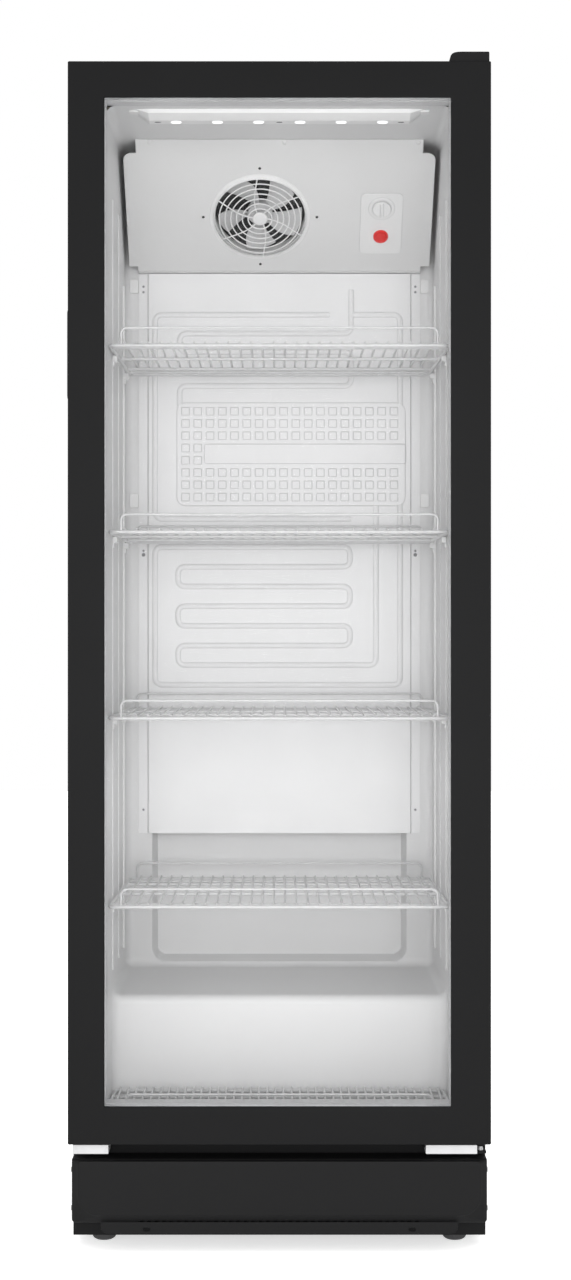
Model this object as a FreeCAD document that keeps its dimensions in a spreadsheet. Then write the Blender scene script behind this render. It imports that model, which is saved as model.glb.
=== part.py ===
import FreeCAD, Part
import Sketcher
import math
import operator
import os
from types import SimpleNamespace

# Upright glass door merchandiser, in millimetres.  +Z is up and the door faces -Y.
# The origin is on the floor under the middle of the cabinet.
# "deep" is the distance behind the front face of the closed door.

Vector = FreeCAD.Vector
Rotation = FreeCAD.Rotation
Placement = FreeCAD.Placement

doc = FreeCAD.newDocument("glass_door_merchandiser")

DIMENSIONS = {
    # overall
    "overall_depth": 595,
    "cabinet_width": 594,
    "cabinet_top": 1690,
    "door_overhang": 3,
    "door_bottom": 157,
    "door_rise": 2.5,
    "door_depth": 44,
    # shell
    "panel_skin": 1,
    "grille_margin": 34,
    "grille_top_margin": 46,
    "grille_slot": 5,
    "grille_slot_half": 70,
    "grille_slot_offset": 185,
    "liner_skin": 1.5,
    "gasket_depth": 9.7,
    "seal_gap": 0.3,
    "strip_depth": 6,
    "side_wall": 47,
    "roof_wall": 48,
    "floor_rise": 28,
    "step_height": 340,
    "step_depth": 170,
    "rear_wall": 137,
    "recess": 28,
    "recess_inset": 43,
    "step_insulation": 40,
    "rib_rise": 1,
    "rib_width": 10,
    "front_rib_depth": 174,
    "middle_rib_depth": 293,
    "pilaster_inset": 56,
    "pilaster_rise": 2.5,
    "pilaster_width": 18,
    "pilaster_drop": 94,
    "slot_pitch": 18,
    "slot_width": 4,
    "slot_length": 10,
    "rib_bottom": 378,
    "rib_top_gap": 112,
    # base
    "base_bottom": 14.5,
    "base_top": 42,
    "base_sheet": 2,
    "post_width": 16,
    "strip_lap": 5,
    "bracket_drop": 15,
    "kick_front": 10,
    "kick_inset": 1,
    "kick_drop": 9,
    "kick_corner": 6,
    "kick_sheet": 1.5,
    "lip_bottom": 27.5,
    "lip_inset": 43,
    "lip_slot_offset": 189,
    "lip_slot_long": 11,
    "lip_slot_high": 6,
    "lip_slot_margin": 3,
    "vent_pitch": 10.6,
    "vent_long": 6,
    "vent_high": 2,
    "foot_radius": 17,
    "foot_inset": 42,
    "foot_bevel": 5,
    "foot_bevel_high": 3,
    "foot_stud_gap": 6,
    "foot_front_depth": 90,
    "foot_rear_inset": 90,
    "foot_gap": 0.3,
    "foot_stud": 4,
    # door
    "handle_stile": 52,
    "hinge_stile": 57,
    "top_rail": 51.5,
    "bottom_rail": 54,
    "front_lip": 3,
    "glass_setting": 2,
    "glass_sheet": 4,
    "glass_gap": 12,
    "spacer_width": 9,
    "trim_land": 12,
    "gasket_width": 22,
    "gasket_inset": 14,
    "handle_bottom": 1215,
    "handle_top": 1341,
    "handle_flange": 1.5,
    "handle_rim": 6,
    "handle_recess": 18,
    "handle_wall": 1.5,
    "handle_front_depth": 7,
    "handle_back_depth": 38,
    # hinges
    "hinge_inset": 13,
    "hinge_depth": 22,
    "pin_radius": 4,
    "pin_clearance": 0.05,
    "pin_engagement": 20,
    "bush_wall": 2,
    "bush_flange": 1,
    "bush_flange_radius": 8,
    "pin_end_gap": 2,
    "collar_wall": 2.5,
    "bracket_plate": 3,
    "bracket_reach": 8,
    "top_plate_rear": 58,
    "top_plate_inset": 2,
    "top_foot_gap": 4,
    "cover_length": 57,
    "cover_end_gap": 2,
    "cover_round": 10,
    "cover_left_wall": 9.5,
    "cover_boss": 4,
    "cover_boss_pitch": 40,
    "cover_top_gap": 17,
    "cover_wall": 1.5,
    "cover_rear_depth": 122,
    "cover_front_depth": 3,
    "door_gap": 1,
    "lower_bracket_far": 92,
    "lower_bracket_near": 23,
    "lower_bracket_tail": 8,
    "corner_bracket_inset": 6,
    "corner_bracket_length": 51,
    "corner_face_high": 9,
    "corner_back_high": 13,
    # evaporator plate
    "plate_inset": 21.6,
    "plate_bottom": 557,
    "plate_top_gap": 2,
    "plate_sheet": 1.5,
    "plate_stand_off": 8,
    "plate_flange": 15.4,
    "channel_width": 7.8,
    "channel_rise": 1.8,
    "accumulator_rise": 2.4,
    "loop_left_inset": 26.4,
    "loop_right_inset": 32.4,
    "loop_drop": 66.5,
    "channel_gap": 38,
    "feed_drop": 29,
    "coil_drop": 443.5,
    "coil_first_gap": 45.4,
    "coil_row_pitch": 32,
    "store_drop": 214,
    "store_high": 62,
    "store_slot": 33,
    "neck_width": 42,
    # fan cover, in its own slope: "up" is the distance up the slope from its lower edge
    "slope_angle": 45,
    "slope_foot_gap": 18,
    "slope_drop": 175,
    "cover_sheet": 1.5,
    "cover_lip": 10,
    "cover_lip_inset": 22,
    "cover_inset": 8,
    "cover_tab_inset": 28,
    "cover_tab": 24,
    "shoulder_radius": 13,
    "fan_offset": -30.6,
    "fan_up": 104.7,
    "fan_clearance": 6,
    "fan_screw_gap": 16,
    "fan_screw_hole": 1.6,
    "guard_flange_width": 7,
    "guard_lap": 1.5,
    "guard_skirt": 1.5,
    "guard_hub": 11.8,
    "guard_hub_high": 3,
    "guard_inner_ring": 18.9,
    "guard_ring_gap": 7.8,
    "spoke_turn": 93.4,
    "spoke_swirl": 23,
    "guard_wire": 0.9,
    "guard_sheet": 1.2,
    "guard_stand_off": 5,
    "blade_radius": 68,
    "blade_width": 16,
    "blade_gap": 4,
    "blade_sheet": 1.6,
    "blade_pitch": 26,
    "blade_hub": 20,
    "motor_radius": 27,
    "motor_length": 34,
    "motor_gap": 2,
    "motor_arm_width": 8,
    "motor_arm_sheet": 2.5,
    "motor_arm_foot": 4,
    "motor_arm_gap": 8,
    "fan_shaft": 2.5,
    # controls
    "control_offset": 161.5,
    "control_width": 66,
    "control_low": 36,
    "control_high": 149,
    "control_sheet": 1.5,
    "control_corner": 7,
    "knob_up": 121.6,
    "dial_radius": 20.5,
    "dial_rise": 1,
    "knob_radius": 14.5,
    "knob_rise": 7,
    "knob_ridge": 5,
    "knob_shaft": 3,
    "shaft_clearance": 1.5,
    "thermostat_half_width": 20,
    "thermostat_half_height": 14,
    "thermostat_depth": 28,
    "shaft_depth": 10,
    "running_gap": 0.05,
    "button_up": 69.3,
    "bezel_radius": 11.9,
    "bezel_rise": 3,
    "bezel_ledge": 1.5,
    "bezel_depth": 16,
    "bezel_bottom": 4,
    "button_radius": 8.8,
    "button_gap": 0.3,
    "button_rise": 4,
    "button_travel": 2,
    # lamp
    "lamp_front_depth": 72,
    "lamp_rear_depth": 112,
    "lamp_inset": 43,
    "lamp_taper": 16,
    "lamp_drop": 13,
    "lamp_wall": 1.5,
    "lens_radius": 8,
    "lens_pitch": 60.4,
    "lens_rear_gap": 14,
    "lens_fit": 0.2,
    "lens_proud": 0.8,
    "board_half": 9,
    "board_sheet": 1.6,
    "board_end_gap": 2,
    "lamp_end_wall": 4,
    # shelves
    "shelf_front_depth": 80,
    "shelf_rear_gap": 20,
    "shelf_front_gap": 1,
    "shelf_taper": 5,
    "shelf_corner": 12,
    "rail_radius": 3,
    "cross_rail_radius": 2.4,
    "cross_rail_front": 25,
    "cross_rail_second": 157,
    "cross_rail_third": 284,
    "cross_rail_rear": 32,
    "wire_radius": 1.7,
    "weld_bite": 0.5,
    "wire_pitch": 16.6,
    "wire_margin": 12,
    "wire_overhang": 1.5,
    "guard_inset": 18,
    "guard_height": 27.6,
    "guard_corner": 9,
    "shelf_gap": 0.3,
    "shelf_one": 1300,
    "shelf_two": 1029,
    "shelf_three": 758,
    "shelf_four": 484,
    "clip_width": 14,
    "clip_height": 9,
    "clip_reach": 7,
    "rack_rise": 14,
    "rack_rear_gap": 6,
    "rack_pitch": 12.1,
    "rack_guard_inset": 28,
    "rack_guard_height": 14,
    "rack_taper": 2,
    "rack_cross_rail": 40,
    "rack_leg_inset": 50,
    "rack_leg_radius": 2.5,
    "rack_leg_bite": 0.6,
    # machine compartment
    "compressor_radius": 72,
    "compressor_height": 165,
    "compressor_offset": 120,
    "compressor_rear_gap": 165,
    "compressor_lift": 4,
    "compressor_foot_reach": 22,
    "compressor_foot_inset": 8,
    "grommet_foot": 11,
    "grommet_top": 9,
    "mount_height": 16,
    "condenser_inset": 34,
    "condenser_width": 230,
    "condenser_height": 220,
    "condenser_gap": 20.5,
    "condenser_thickness": 48,
    "fin_pitch": 9,
    "condenser_fan_radius": 92,
    "condenser_fan_lift": 4,
    "condenser_fan_width": 20,
    "condenser_fan_hub": 24,
    "condenser_motor_radius": 32,
    "condenser_motor_length": 46,
    "condenser_motor_depth": 34,
    "condenser_spindle": 3,
    "shroud_clearance": 5,
    "shroud_wall": 1.5,
    "shroud_depth": 30,
    "fin_sheet": 0.6,
    "coil_radius": 4.5,
    "coil_pitch": 30,
    "coil_margin": 20,
    "coil_overhang": 8,
    "pipe_radius": 3.2,
    "suction_radius": 4,
    "gland_bore": 4,
    "gland_radius": 9,
    "gland_height": 110,
    "gland_inset": 61,
    "gland_rim": 3,
    "gland_rim_high": 2.5,
    "gland_proud": 6,
    "gland_inward": 10,
    "box_half": 40,
    "box_half_high": 55,
    "box_depth": 60,
    "box_wall": 2,
    "screw_head": 3.8,
    "screw_head_rise": 1.6,
    "screw_margin": 12,
}

sheet = doc.addObject("Spreadsheet::Sheet", "Sizes")
for row, (alias, number) in enumerate(DIMENSIONS.items(), start=1):
    sheet.set(f"A{row}", alias)
    sheet.set(f"B{row}", str(number))
    sheet.setAlias(f"B{row}", alias)
doc.recompute()

OPERATIONS = {"+": operator.add, "-": operator.sub, "*": operator.mul, "/": operator.truediv}


class Size:
    """A number together with the sheet expression that it comes from."""

    def __init__(self, text, value):
        self.text = text
        self.value = value

    def joined(self, sign, other, swapped=False):
        other = as_size(other)
        first, second = (other, self) if swapped else (self, other)
        value = OPERATIONS[sign](first.value, second.value)
        return Size(f"({first.text} {sign} {second.text})", value)

    def __add__(self, other):
        return self.joined("+", other)

    def __radd__(self, other):
        return self.joined("+", other, swapped=True)

    def __sub__(self, other):
        return self.joined("-", other)

    def __rsub__(self, other):
        return self.joined("-", other, swapped=True)

    def __mul__(self, other):
        return self.joined("*", other)

    def __rmul__(self, other):
        return self.joined("*", other, swapped=True)

    def __truediv__(self, other):
        return self.joined("/", other)

    def __neg__(self):
        return as_size(0) - self


def as_size(value):
    return value if isinstance(value, Size) else Size(f"({float(value)!r})", float(value))


def number(value):
    return as_size(value).value


size = SimpleNamespace(
    **{alias: Size(f"Sizes.{alias}", float(sheet.get(alias))) for alias in DIMENSIONS}
)

# ---------------------------------------------------------------- sizes that follow others

size.door_width = size.cabinet_width + size.door_overhang * 2
size.door_top = size.cabinet_top + size.door_rise
size.bracket_level = size.door_bottom - size.bracket_drop
size.kick_top = size.bracket_level - size.kick_drop
size.kick_width = size.cabinet_width - size.kick_inset * 2
size.strip_bottom = size.kick_top - size.strip_lap
size.inner_width = size.cabinet_width - size.side_wall * 2
size.ceiling_height = size.cabinet_top - size.roof_wall
size.floor_height = size.door_bottom + size.floor_rise
size.liner_depth = size.overall_depth - size.rear_wall
size.recess_depth = size.liner_depth + size.recess
size.pilaster_depth = size.liner_depth - size.pilaster_inset
size.rib_top = size.ceiling_height - size.rib_top_gap
size.slope_foot_depth = size.liner_depth - size.slope_foot_gap
size.slope_foot_height = size.ceiling_height - size.slope_drop
size.plate_top = size.slope_foot_height - size.plate_top_gap
size.foot_rear_depth = size.overall_depth - size.foot_rear_inset
size.cover_top = size.cabinet_top + size.cover_top_gap
size.fan_opening = size.blade_radius + size.fan_clearance
size.guard_opening = size.fan_opening - size.guard_lap
size.guard_flange = size.guard_opening + size.guard_flange_width
size.shelf_rear_depth = size.liner_depth - size.shelf_rear_gap
size.rack_height = size.floor_height + size.rack_rise
size.rack_rear_depth = size.step_depth - size.rack_rear_gap
size.compressor_depth = size.overall_depth - size.compressor_rear_gap

# ---------------------------------------------------------------- shared planes

front = -size.overall_depth / 2
rear = size.overall_depth / 2


def deep(distance):
    return front + distance


half_body = size.cabinet_width / 2
half_inside = size.inner_width / 2
half_door = size.door_width / 2
half_shell = half_body - size.panel_skin
size.foot_spread = half_body - size.foot_inset
size.lip_half = half_body - size.lip_inset
size.recess_half = half_inside - size.recess_inset
size.plate_half = half_inside - size.plate_inset
size.cover_lip_half = half_inside - size.cover_lip_inset
size.cover_half = half_inside - size.cover_inset
size.cover_tab_half = half_inside - size.cover_tab_inset
size.lamp_half = half_inside - size.lamp_inset
size.lamp_lower_half = size.lamp_half - size.lamp_taper
size.shelf_half_front = half_inside - size.shelf_front_gap
size.shelf_half_rear = size.shelf_half_front - size.shelf_taper
size.guard_half = half_inside - size.guard_inset
size.rack_guard_half = half_inside - size.rack_guard_inset
size.cover_right = half_door - size.cover_end_gap
size.cover_left = size.cover_right - size.cover_length
size.lower_bracket_left = half_door - size.lower_bracket_far
size.lower_bracket_right = half_door - size.lower_bracket_near
size.corner_bracket_outer = half_door - size.corner_bracket_inset
size.corner_bracket_inner = size.corner_bracket_outer - size.corner_bracket_length
size.condenser_left = size.condenser_inset - half_shell
size.gland_offset = half_shell - size.gland_inset
seal_depth = size.door_depth + size.gasket_depth + size.seal_gap
strip_rear = seal_depth + size.strip_depth
shell_top = size.cabinet_top - size.panel_skin
machine_front = size.step_depth + size.liner_skin + size.step_insulation
machine_top = size.step_height - size.liner_skin - size.step_insulation
size.condenser_depth = machine_front + size.condenser_gap
base_floor = size.base_bottom + size.base_sheet
hinge_x = half_door - size.hinge_inset
hinge_y = deep(size.hinge_depth)
slope_placement = Placement(
    Vector(0, number(deep(size.slope_foot_depth)), number(size.slope_foot_height)),
    Rotation(Vector(1, 0, 0), 180 - number(size.slope_angle)),
)

slope_rise = math.sin(math.radians(number(size.slope_angle)))
slope_run = math.cos(math.radians(number(size.slope_angle)))
cover_slope = (
    size.ceiling_height - size.slope_foot_height - size.cover_sheet * slope_run
) / slope_rise
fan_placement = slope_placement * Placement(
    Vector(number(size.fan_offset), number(size.fan_up), 0), Rotation()
)

nodes = []

# ---------------------------------------------------------------- helpers


def bind(item, name, value):
    value = as_size(value)
    item.setExpression(name, value.text)


def place(item, x, y, z, rotation=Rotation()):
    item.Placement = Placement(Vector(number(x), number(y), number(z)), rotation)
    bind(item, "Placement.Base.x", x)
    bind(item, "Placement.Base.y", y)
    bind(item, "Placement.Base.z", z)


def block(name, x, y, z):
    """A box between two planes in each direction."""
    item = doc.addObject("Part::Box", name)
    for side, span in (("Length", x), ("Width", y), ("Height", z)):
        bind(item, side, as_size(span[1]) - span[0])
    place(item, x[0], y[0], z[0])
    return item


TURNS = {
    "X": Rotation(Vector(0, 1, 0), 90),
    "Y": Rotation(Vector(1, 0, 0), -90),
    "Z": Rotation(),
}


def rod(name, axis, radius, span, centre):
    """A round bar along X, Y or Z; centre gives its place in the other two directions."""
    item = doc.addObject("Part::Cylinder", name)
    bind(item, "Radius", radius)
    bind(item, "Height", as_size(span[1]) - span[0])
    spots = {
        "X": (span[0], centre[0], centre[1]),
        "Y": (centre[0], span[0], centre[1]),
        "Z": (centre[0], centre[1], span[0]),
    }
    place(item, *spots[axis], rotation=TURNS[axis])
    return item


def cone(name, axis, radii, span, centre):
    item = doc.addObject("Part::Cone", name)
    bind(item, "Radius1", radii[0])
    bind(item, "Radius2", radii[1])
    bind(item, "Height", as_size(span[1]) - span[0])
    spots = {
        "X": (span[0], centre[0], centre[1]),
        "Y": (centre[0], span[0], centre[1]),
        "Z": (centre[0], centre[1], span[0]),
    }
    place(item, *spots[axis], rotation=TURNS[axis])
    return item


def fuse(name, *pieces):
    item = doc.addObject("Part::MultiFuse", name)
    item.Shapes = list(pieces)
    item.Refine = True
    return item


def cut(name, base, *tools):
    item = doc.addObject("Part::Cut", name)
    item.Base = base
    item.Tool = tools[0] if len(tools) == 1 else fuse(name + "_tools", *tools)
    item.Refine = True
    return item


def group(name, *pieces):
    item = doc.addObject("Part::Compound", name)
    item.Links = list(pieces)
    return item


def node(item, name, placement=None):
    """Names a finished piece, which is written to a file of the same name."""
    item.Label = name
    if placement is not None:
        item.Placement = placement
    nodes.append(item)
    return item


def shaped(name, shape, placement=None):
    item = doc.addObject("Part::Feature", name)
    item.Shape = shape
    return node(item, name, placement)


def mitred_frame(name, outer, inner, y):
    """Four bars with mitred ends round an opening; outer and inner are (x span, z span)."""
    (left, right), (bottom, top) = outer
    (in_left, in_right), (in_bottom, in_top) = inner
    level = Rotation(Vector(1, 0, 0), 90)
    upright = Rotation(Vector(1, 1, 1), -120)
    back = (-as_size(y[1]), -as_size(y[0]))
    bars = [
        ("top", level, (in_top, top), (in_left, in_right), (left, right), back),
        ("bottom", level, (bottom, in_bottom), (left, right), (in_left, in_right), back),
        ("left", upright, (left, in_left), (bottom, top), (in_bottom, in_top), y),
        ("right", upright, (in_right, right), (in_bottom, in_top), (bottom, top), y),
    ]
    pieces = []
    for side, turn, across, near, far, through in bars:
        bar = doc.addObject("Part::Wedge", f"{name}_{side}")
        bar.Placement = Placement(Vector(), turn)
        ends = {
            "Xmin": near[0], "Xmax": near[1], "X2min": far[0], "X2max": far[1],
            "Ymin": across[0], "Ymax": across[1],
            "Zmin": through[0], "Zmax": through[1], "Z2min": through[0], "Z2max": through[1],
        }
        for name_of_end, value in ends.items():
            setattr(bar, name_of_end, number(value))
        for name_of_end, value in ends.items():
            bind(bar, name_of_end, value)
        pieces.append(bar)
    return node(group(name, *pieces), name)


def origin_plane(body, role):
    return next(item for item in body.Origin.OriginFeatures if item.Role == role)


def new_body(name):
    return doc.addObject("PartDesign::Body", name)


def new_sketch(body, name, role):
    sketch = body.newObject("Sketcher::SketchObject", name)
    sketch.AttachmentSupport = [(origin_plane(body, role), "")]
    sketch.MapMode = "FlatFace"
    return sketch


def add_bound(sketch, rules):
    """Adds constraints in one go; a rule with a third entry is bound to the sheet."""
    made = sketch.addConstraint([rule[0] for rule in rules])
    for index, rule in zip(made, rules):
        if len(rule) > 1:
            sketch.setExpression(f"Constraints[{index}]", as_size(rule[1]).text)


def held_at(line, end, spot):
    """Rules that hold one end of a sketch line, or a circle's centre, at a place."""
    kinds = zip(("DistanceX", "DistanceY"), spot)
    return [(Sketcher.Constraint(kind, -1, 1, line, end, number(value)), value)
            for kind, value in kinds]


def outline(body, name, role, *loops):
    """A sketch of closed straight-sided loops whose corners are bound to the sheet."""
    sketch = new_sketch(body, name, role)
    lines = []
    rules = []
    for corners in loops:
        first = len(lines)
        ends = corners[1:] + corners[:1]
        for start, end in zip(corners, ends):
            here = Vector(number(start[0]), number(start[1]), 0)
            there = Vector(number(end[0]), number(end[1]), 0)
            lines.append(Part.LineSegment(here, there))
        for step, corner in enumerate(corners):
            following = first + (step + 1) % len(corners)
            rules.append((Sketcher.Constraint("Coincident", first + step, 2, following, 1),))
            rules += held_at(first + step, 1, corner)
    sketch.addGeometry(lines, False)
    add_bound(sketch, rules)
    return sketch


def rectangle(x, y):
    return [(x[0], y[0]), (x[1], y[0]), (x[1], y[1]), (x[0], y[1])]


def discs(body, name, role, *circles):
    """A sketch of circles, each given as (x, y, radius)."""
    sketch = new_sketch(body, name, role)
    rounds = []
    rules = []
    for line, (x, y, radius) in enumerate(circles):
        centre = Vector(number(x), number(y), 0)
        rounds.append(Part.Circle(centre, Vector(0, 0, 1), number(radius)))
        rules += held_at(line, 3, (x, y))
        rules.append((Sketcher.Constraint("Radius", line, number(radius)), radius))
    sketch.addGeometry(rounds, False)
    add_bound(sketch, rules)
    return sketch


def lifted(sketch, distance):
    """Moves a sketch off its plane, along its own normal."""
    sketch.AttachmentOffset = Placement(Vector(0, 0, number(distance)), Rotation())
    bind(sketch, "AttachmentOffset.Base.z", distance)
    return sketch


def pad(body, sketch, length, both_ways=False, turned=False):
    item = body.newObject("PartDesign::Pad", sketch.Name + "_pad")
    item.Profile = sketch
    bind(item, "Length", length)
    item.Midplane = both_ways
    item.Reversed = turned
    return item


def pocket(body, sketch, length=None, both_ways=False, turned=False):
    item = body.newObject("PartDesign::Pocket", sketch.Name + "_pocket")
    item.Profile = sketch
    if length is None:
        item.Type = "ThroughAll"
    else:
        bind(item, "Length", length)
    item.Midplane = both_ways
    item.Reversed = turned
    return item


def fillet(body, feature, radius, wanted):
    """Rounds the edges of a feature that wanted(edge) picks out."""
    doc.recompute()
    edges = feature.Shape.Edges
    names = [f"Edge{index}" for index, edge in enumerate(edges, start=1) if wanted(edge)]
    item = body.newObject("PartDesign::Fillet", feature.Name + "_round")
    item.Base = (feature, names)
    bind(item, "Radius", radius)
    return item


def runs_along(edge, axis):
    """True for a straight edge that lies along X, Y or Z."""
    if len(edge.Vertexes) != 2 or edge.Curve.TypeId != "Part::GeomLine":
        return False
    way = edge.Vertexes[1].Point - edge.Vertexes[0].Point
    return abs(getattr(way.normalize(), axis)) > 0.999


def tube_along(points, bend, radius):
    """A round bar along straight runs that are joined by tangent arcs."""
    edges = []
    start = points[0]
    for corner, after in zip(points[1:-1], points[2:]):
        inward = (start - corner).normalize()
        outward = (after - corner).normalize()
        half_turn = (math.pi - inward.getAngle(outward)) / 2
        setback = bend * math.tan(half_turn)
        arc_start = corner + inward * setback
        arc_end = corner + outward * setback
        middle_way = (inward + outward).normalize()
        to_centre = bend / math.cos(half_turn)
        arc_middle = corner + middle_way * (to_centre - bend)
        edges.append(Part.LineSegment(start, arc_start).toShape())
        edges.append(Part.Arc(arc_start, arc_middle, arc_end).toShape())
        start = arc_end
    edges.append(Part.LineSegment(start, points[-1]).toShape())
    path = Part.Wire(edges)
    heading = points[1] - points[0]
    section = Part.Wire(Part.Circle(points[0], heading, radius).toShape())
    return path.makePipeShell([section], True, False)


def bar_between(start, end, radius):
    return Part.makeCylinder(radius, (end - start).Length, start, end - start)


# ---------------------------------------------------------------- outer shell


def make_shell():
    shell_y = (deep(seal_depth), rear)
    for side, sign in (("left", -1), ("right", 1)):
        inner_face = sign * half_shell
        outer_face = sign * half_body
        x = (outer_face, inner_face) if sign < 0 else (inner_face, outer_face)
        panel = block(f"side_panel_{side}_sheet", x, shell_y, (size.base_bottom, shell_top))
        node(panel, f"side_panel_{side}")
    top = block("top_sheet", (-half_body, half_body), shell_y, (shell_top, size.cabinet_top))
    node(top, "top_panel")
    rear_y = (rear - size.panel_skin, rear)
    back = block("rear_sheet", (-half_shell, half_shell), rear_y, (machine_top, shell_top))
    node(back, "rear_panel")


GRILLE_ROWS = 14


def make_rear_grille():
    body = new_body("rear_grille")
    face = rectangle((-half_shell, half_shell), (size.base_top, machine_top))
    pad(body, outline(body, "grille_face", "XZ_Plane", face), size.panel_skin)
    slot_low = size.base_top + size.grille_margin
    slots = [
        rectangle((middle - size.grille_slot_half, middle + size.grille_slot_half),
                  (slot_low, slot_low + size.grille_slot))
        for middle in (-size.grille_slot_offset, as_size(0))
    ]
    row = pocket(body, outline(body, "grille_slots", "XZ_Plane", *slots), both_ways=True)
    rows = body.newObject("PartDesign::LinearPattern", "grille_rows")
    rows.Originals = [row]
    rows.Direction = (origin_plane(body, "XY_Plane"), [""])
    rows.Occurrences = GRILLE_ROWS
    bind(rows, "Length", machine_top - slot_low - size.grille_top_margin)
    body.Tip = rows
    hole = discs(body, "grille_gland_hole", "XZ_Plane",
                 (size.gland_offset, size.gland_height, size.gland_radius))
    pocket(body, hole, both_ways=True)
    body.Tip = body.Group[-1]
    place(body, 0, rear, 0)
    node(body, "rear_grille")


def make_base():
    """A folded tray with a post at each front corner, which the kick panel is screwed to."""
    body = new_body("base_frame")
    y = (deep(seal_depth), rear - size.panel_skin)
    pad(body, outline(body, "tray", "XY_Plane", rectangle((-half_shell, half_shell), y)),
        size.base_top - size.base_bottom)
    inside = rectangle(
        (-half_shell + size.base_sheet, half_shell - size.base_sheet),
        (y[0] + size.base_sheet, y[1] - size.base_sheet),
    )
    hollow = outline(body, "tray_inside", "XY_Plane", inside)
    pocket(body, lifted(hollow, size.base_sheet), turned=True)
    posts = []
    for sign in (-1, 1):
        outer = sign * half_shell
        inner = sign * (half_shell - size.post_width)
        x = (outer, inner) if sign < 0 else (inner, outer)
        posts.append(rectangle(x, (y[0], y[0] + size.base_sheet)))
    pad(body, outline(body, "corner_posts", "XY_Plane", *posts),
        size.strip_bottom - size.base_bottom)
    foot_spots = [
        (sign * size.foot_spread, deep(depth), size.foot_stud + size.foot_gap)
        for sign in (-1, 1)
        for depth in (size.foot_front_depth, size.foot_rear_depth)
    ]
    pocket(body, discs(body, "foot_holes", "XY_Plane", *foot_spots), turned=True)
    place(body, 0, 0, size.base_bottom)
    node(body, "base_frame")


def make_front_strips():
    mitred_frame(
        "front_strips",
        ((-half_shell, half_shell), (size.strip_bottom, shell_top)),
        ((-half_inside, half_inside), (size.floor_height, size.ceiling_height)),
        (deep(seal_depth), deep(strip_rear)),
    )


def make_insulation():
    """One block of foam between the shell and the liner, stepped over the machine."""
    whole = block("foam_block", (-half_shell, half_shell),
                  (deep(strip_rear), rear - size.panel_skin), (size.strip_bottom, shell_top))
    outside = half_inside + size.liner_skin
    liner_back = deep(size.liner_depth + size.liner_skin)
    ceiling = size.ceiling_height + size.liner_skin
    step_under = size.step_height - size.liner_skin
    upper = block("foam_upper", (-outside, outside), (deep(strip_rear), liner_back),
                  (step_under, ceiling))
    lower = block("foam_lower", (-outside, outside),
                  (deep(strip_rear), deep(size.step_depth + size.liner_skin)),
                  (size.floor_height - size.liner_skin, ceiling))
    pocket_half = size.recess_half + size.liner_skin
    behind = block("foam_recess", (-pocket_half, pocket_half),
                   (deep(strip_rear), deep(size.recess_depth + size.liner_skin)),
                   (step_under, ceiling))
    machine = block("foam_machine", (-half_body, half_body), (deep(machine_front), rear),
                    (size.base_bottom, machine_top))
    node(cut("insulation_cut", whole, upper, lower, behind, machine), "foam_insulation")


# ---------------------------------------------------------------- liner


def make_liner():
    y_front = deep(strip_rear)
    y_back = deep(size.liner_depth + size.liner_skin)
    outside = half_inside + size.liner_skin
    step_under = size.step_height - size.liner_skin
    z = (size.floor_height - size.liner_skin, size.ceiling_height + size.liner_skin)
    for side, sign in (("left", -1), ("right", 1)):
        span = sorted((sign * half_inside, sign * outside), key=number)
        wall = block(f"liner_{side}_wall", span, (y_front, y_back), z)
        corner = block(f"liner_{side}_corner", (-outside, outside),
                       (deep(size.step_depth + size.liner_skin), rear), (0, step_under))
        ribs = []
        for spot, depth in (("front", size.front_rib_depth), ("middle", size.middle_rib_depth)):
            rib_x = sorted((sign * (half_inside - size.rib_rise), sign * half_inside), key=number)
            rib_y = (deep(depth - size.rib_width / 2), deep(depth + size.rib_width / 2))
            ribs.append(block(f"liner_{side}_{spot}_rib", rib_x, rib_y,
                              (size.rib_bottom, size.rib_top)))
        trimmed = cut(f"liner_{side}_trimmed", wall, corner)
        node(fuse(f"liner_{side}_ribbed", trimmed, *ribs), f"liner_side_{side}")
    ceiling = block("liner_roof", (-half_inside, half_inside), (y_front, y_back),
                    (size.ceiling_height, z[1]))
    node(ceiling, "liner_ceiling")
    make_liner_floor(y_front)
    make_liner_back()


def make_liner_floor(y_front):
    """The floor and the step over the compressor, folded from one sheet."""
    body = new_body("liner_floor")
    skin = size.liner_skin
    y_step = deep(size.step_depth)
    y_back = deep(size.liner_depth)
    profile = [
        (y_front, size.floor_height - skin),
        (y_step + skin, size.floor_height - skin),
        (y_step + skin, size.step_height - skin),
        (y_back, size.step_height - skin),
        (y_back, size.step_height),
        (y_step, size.step_height),
        (y_step, size.floor_height),
        (y_front, size.floor_height),
    ]
    fold = pad(body, outline(body, "floor_fold", "YZ_Plane", profile), size.inner_width,
               both_ways=True)

    def nose(edge):
        at = edge.CenterOfMass
        near_y = abs(at.y - number(y_step)) < 0.01
        return runs_along(edge, "x") and near_y and abs(at.z - number(size.step_height)) < 0.01

    fillet(body, fold, size.liner_skin * 0.9, nose)
    node(body, "liner_floor")


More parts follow.
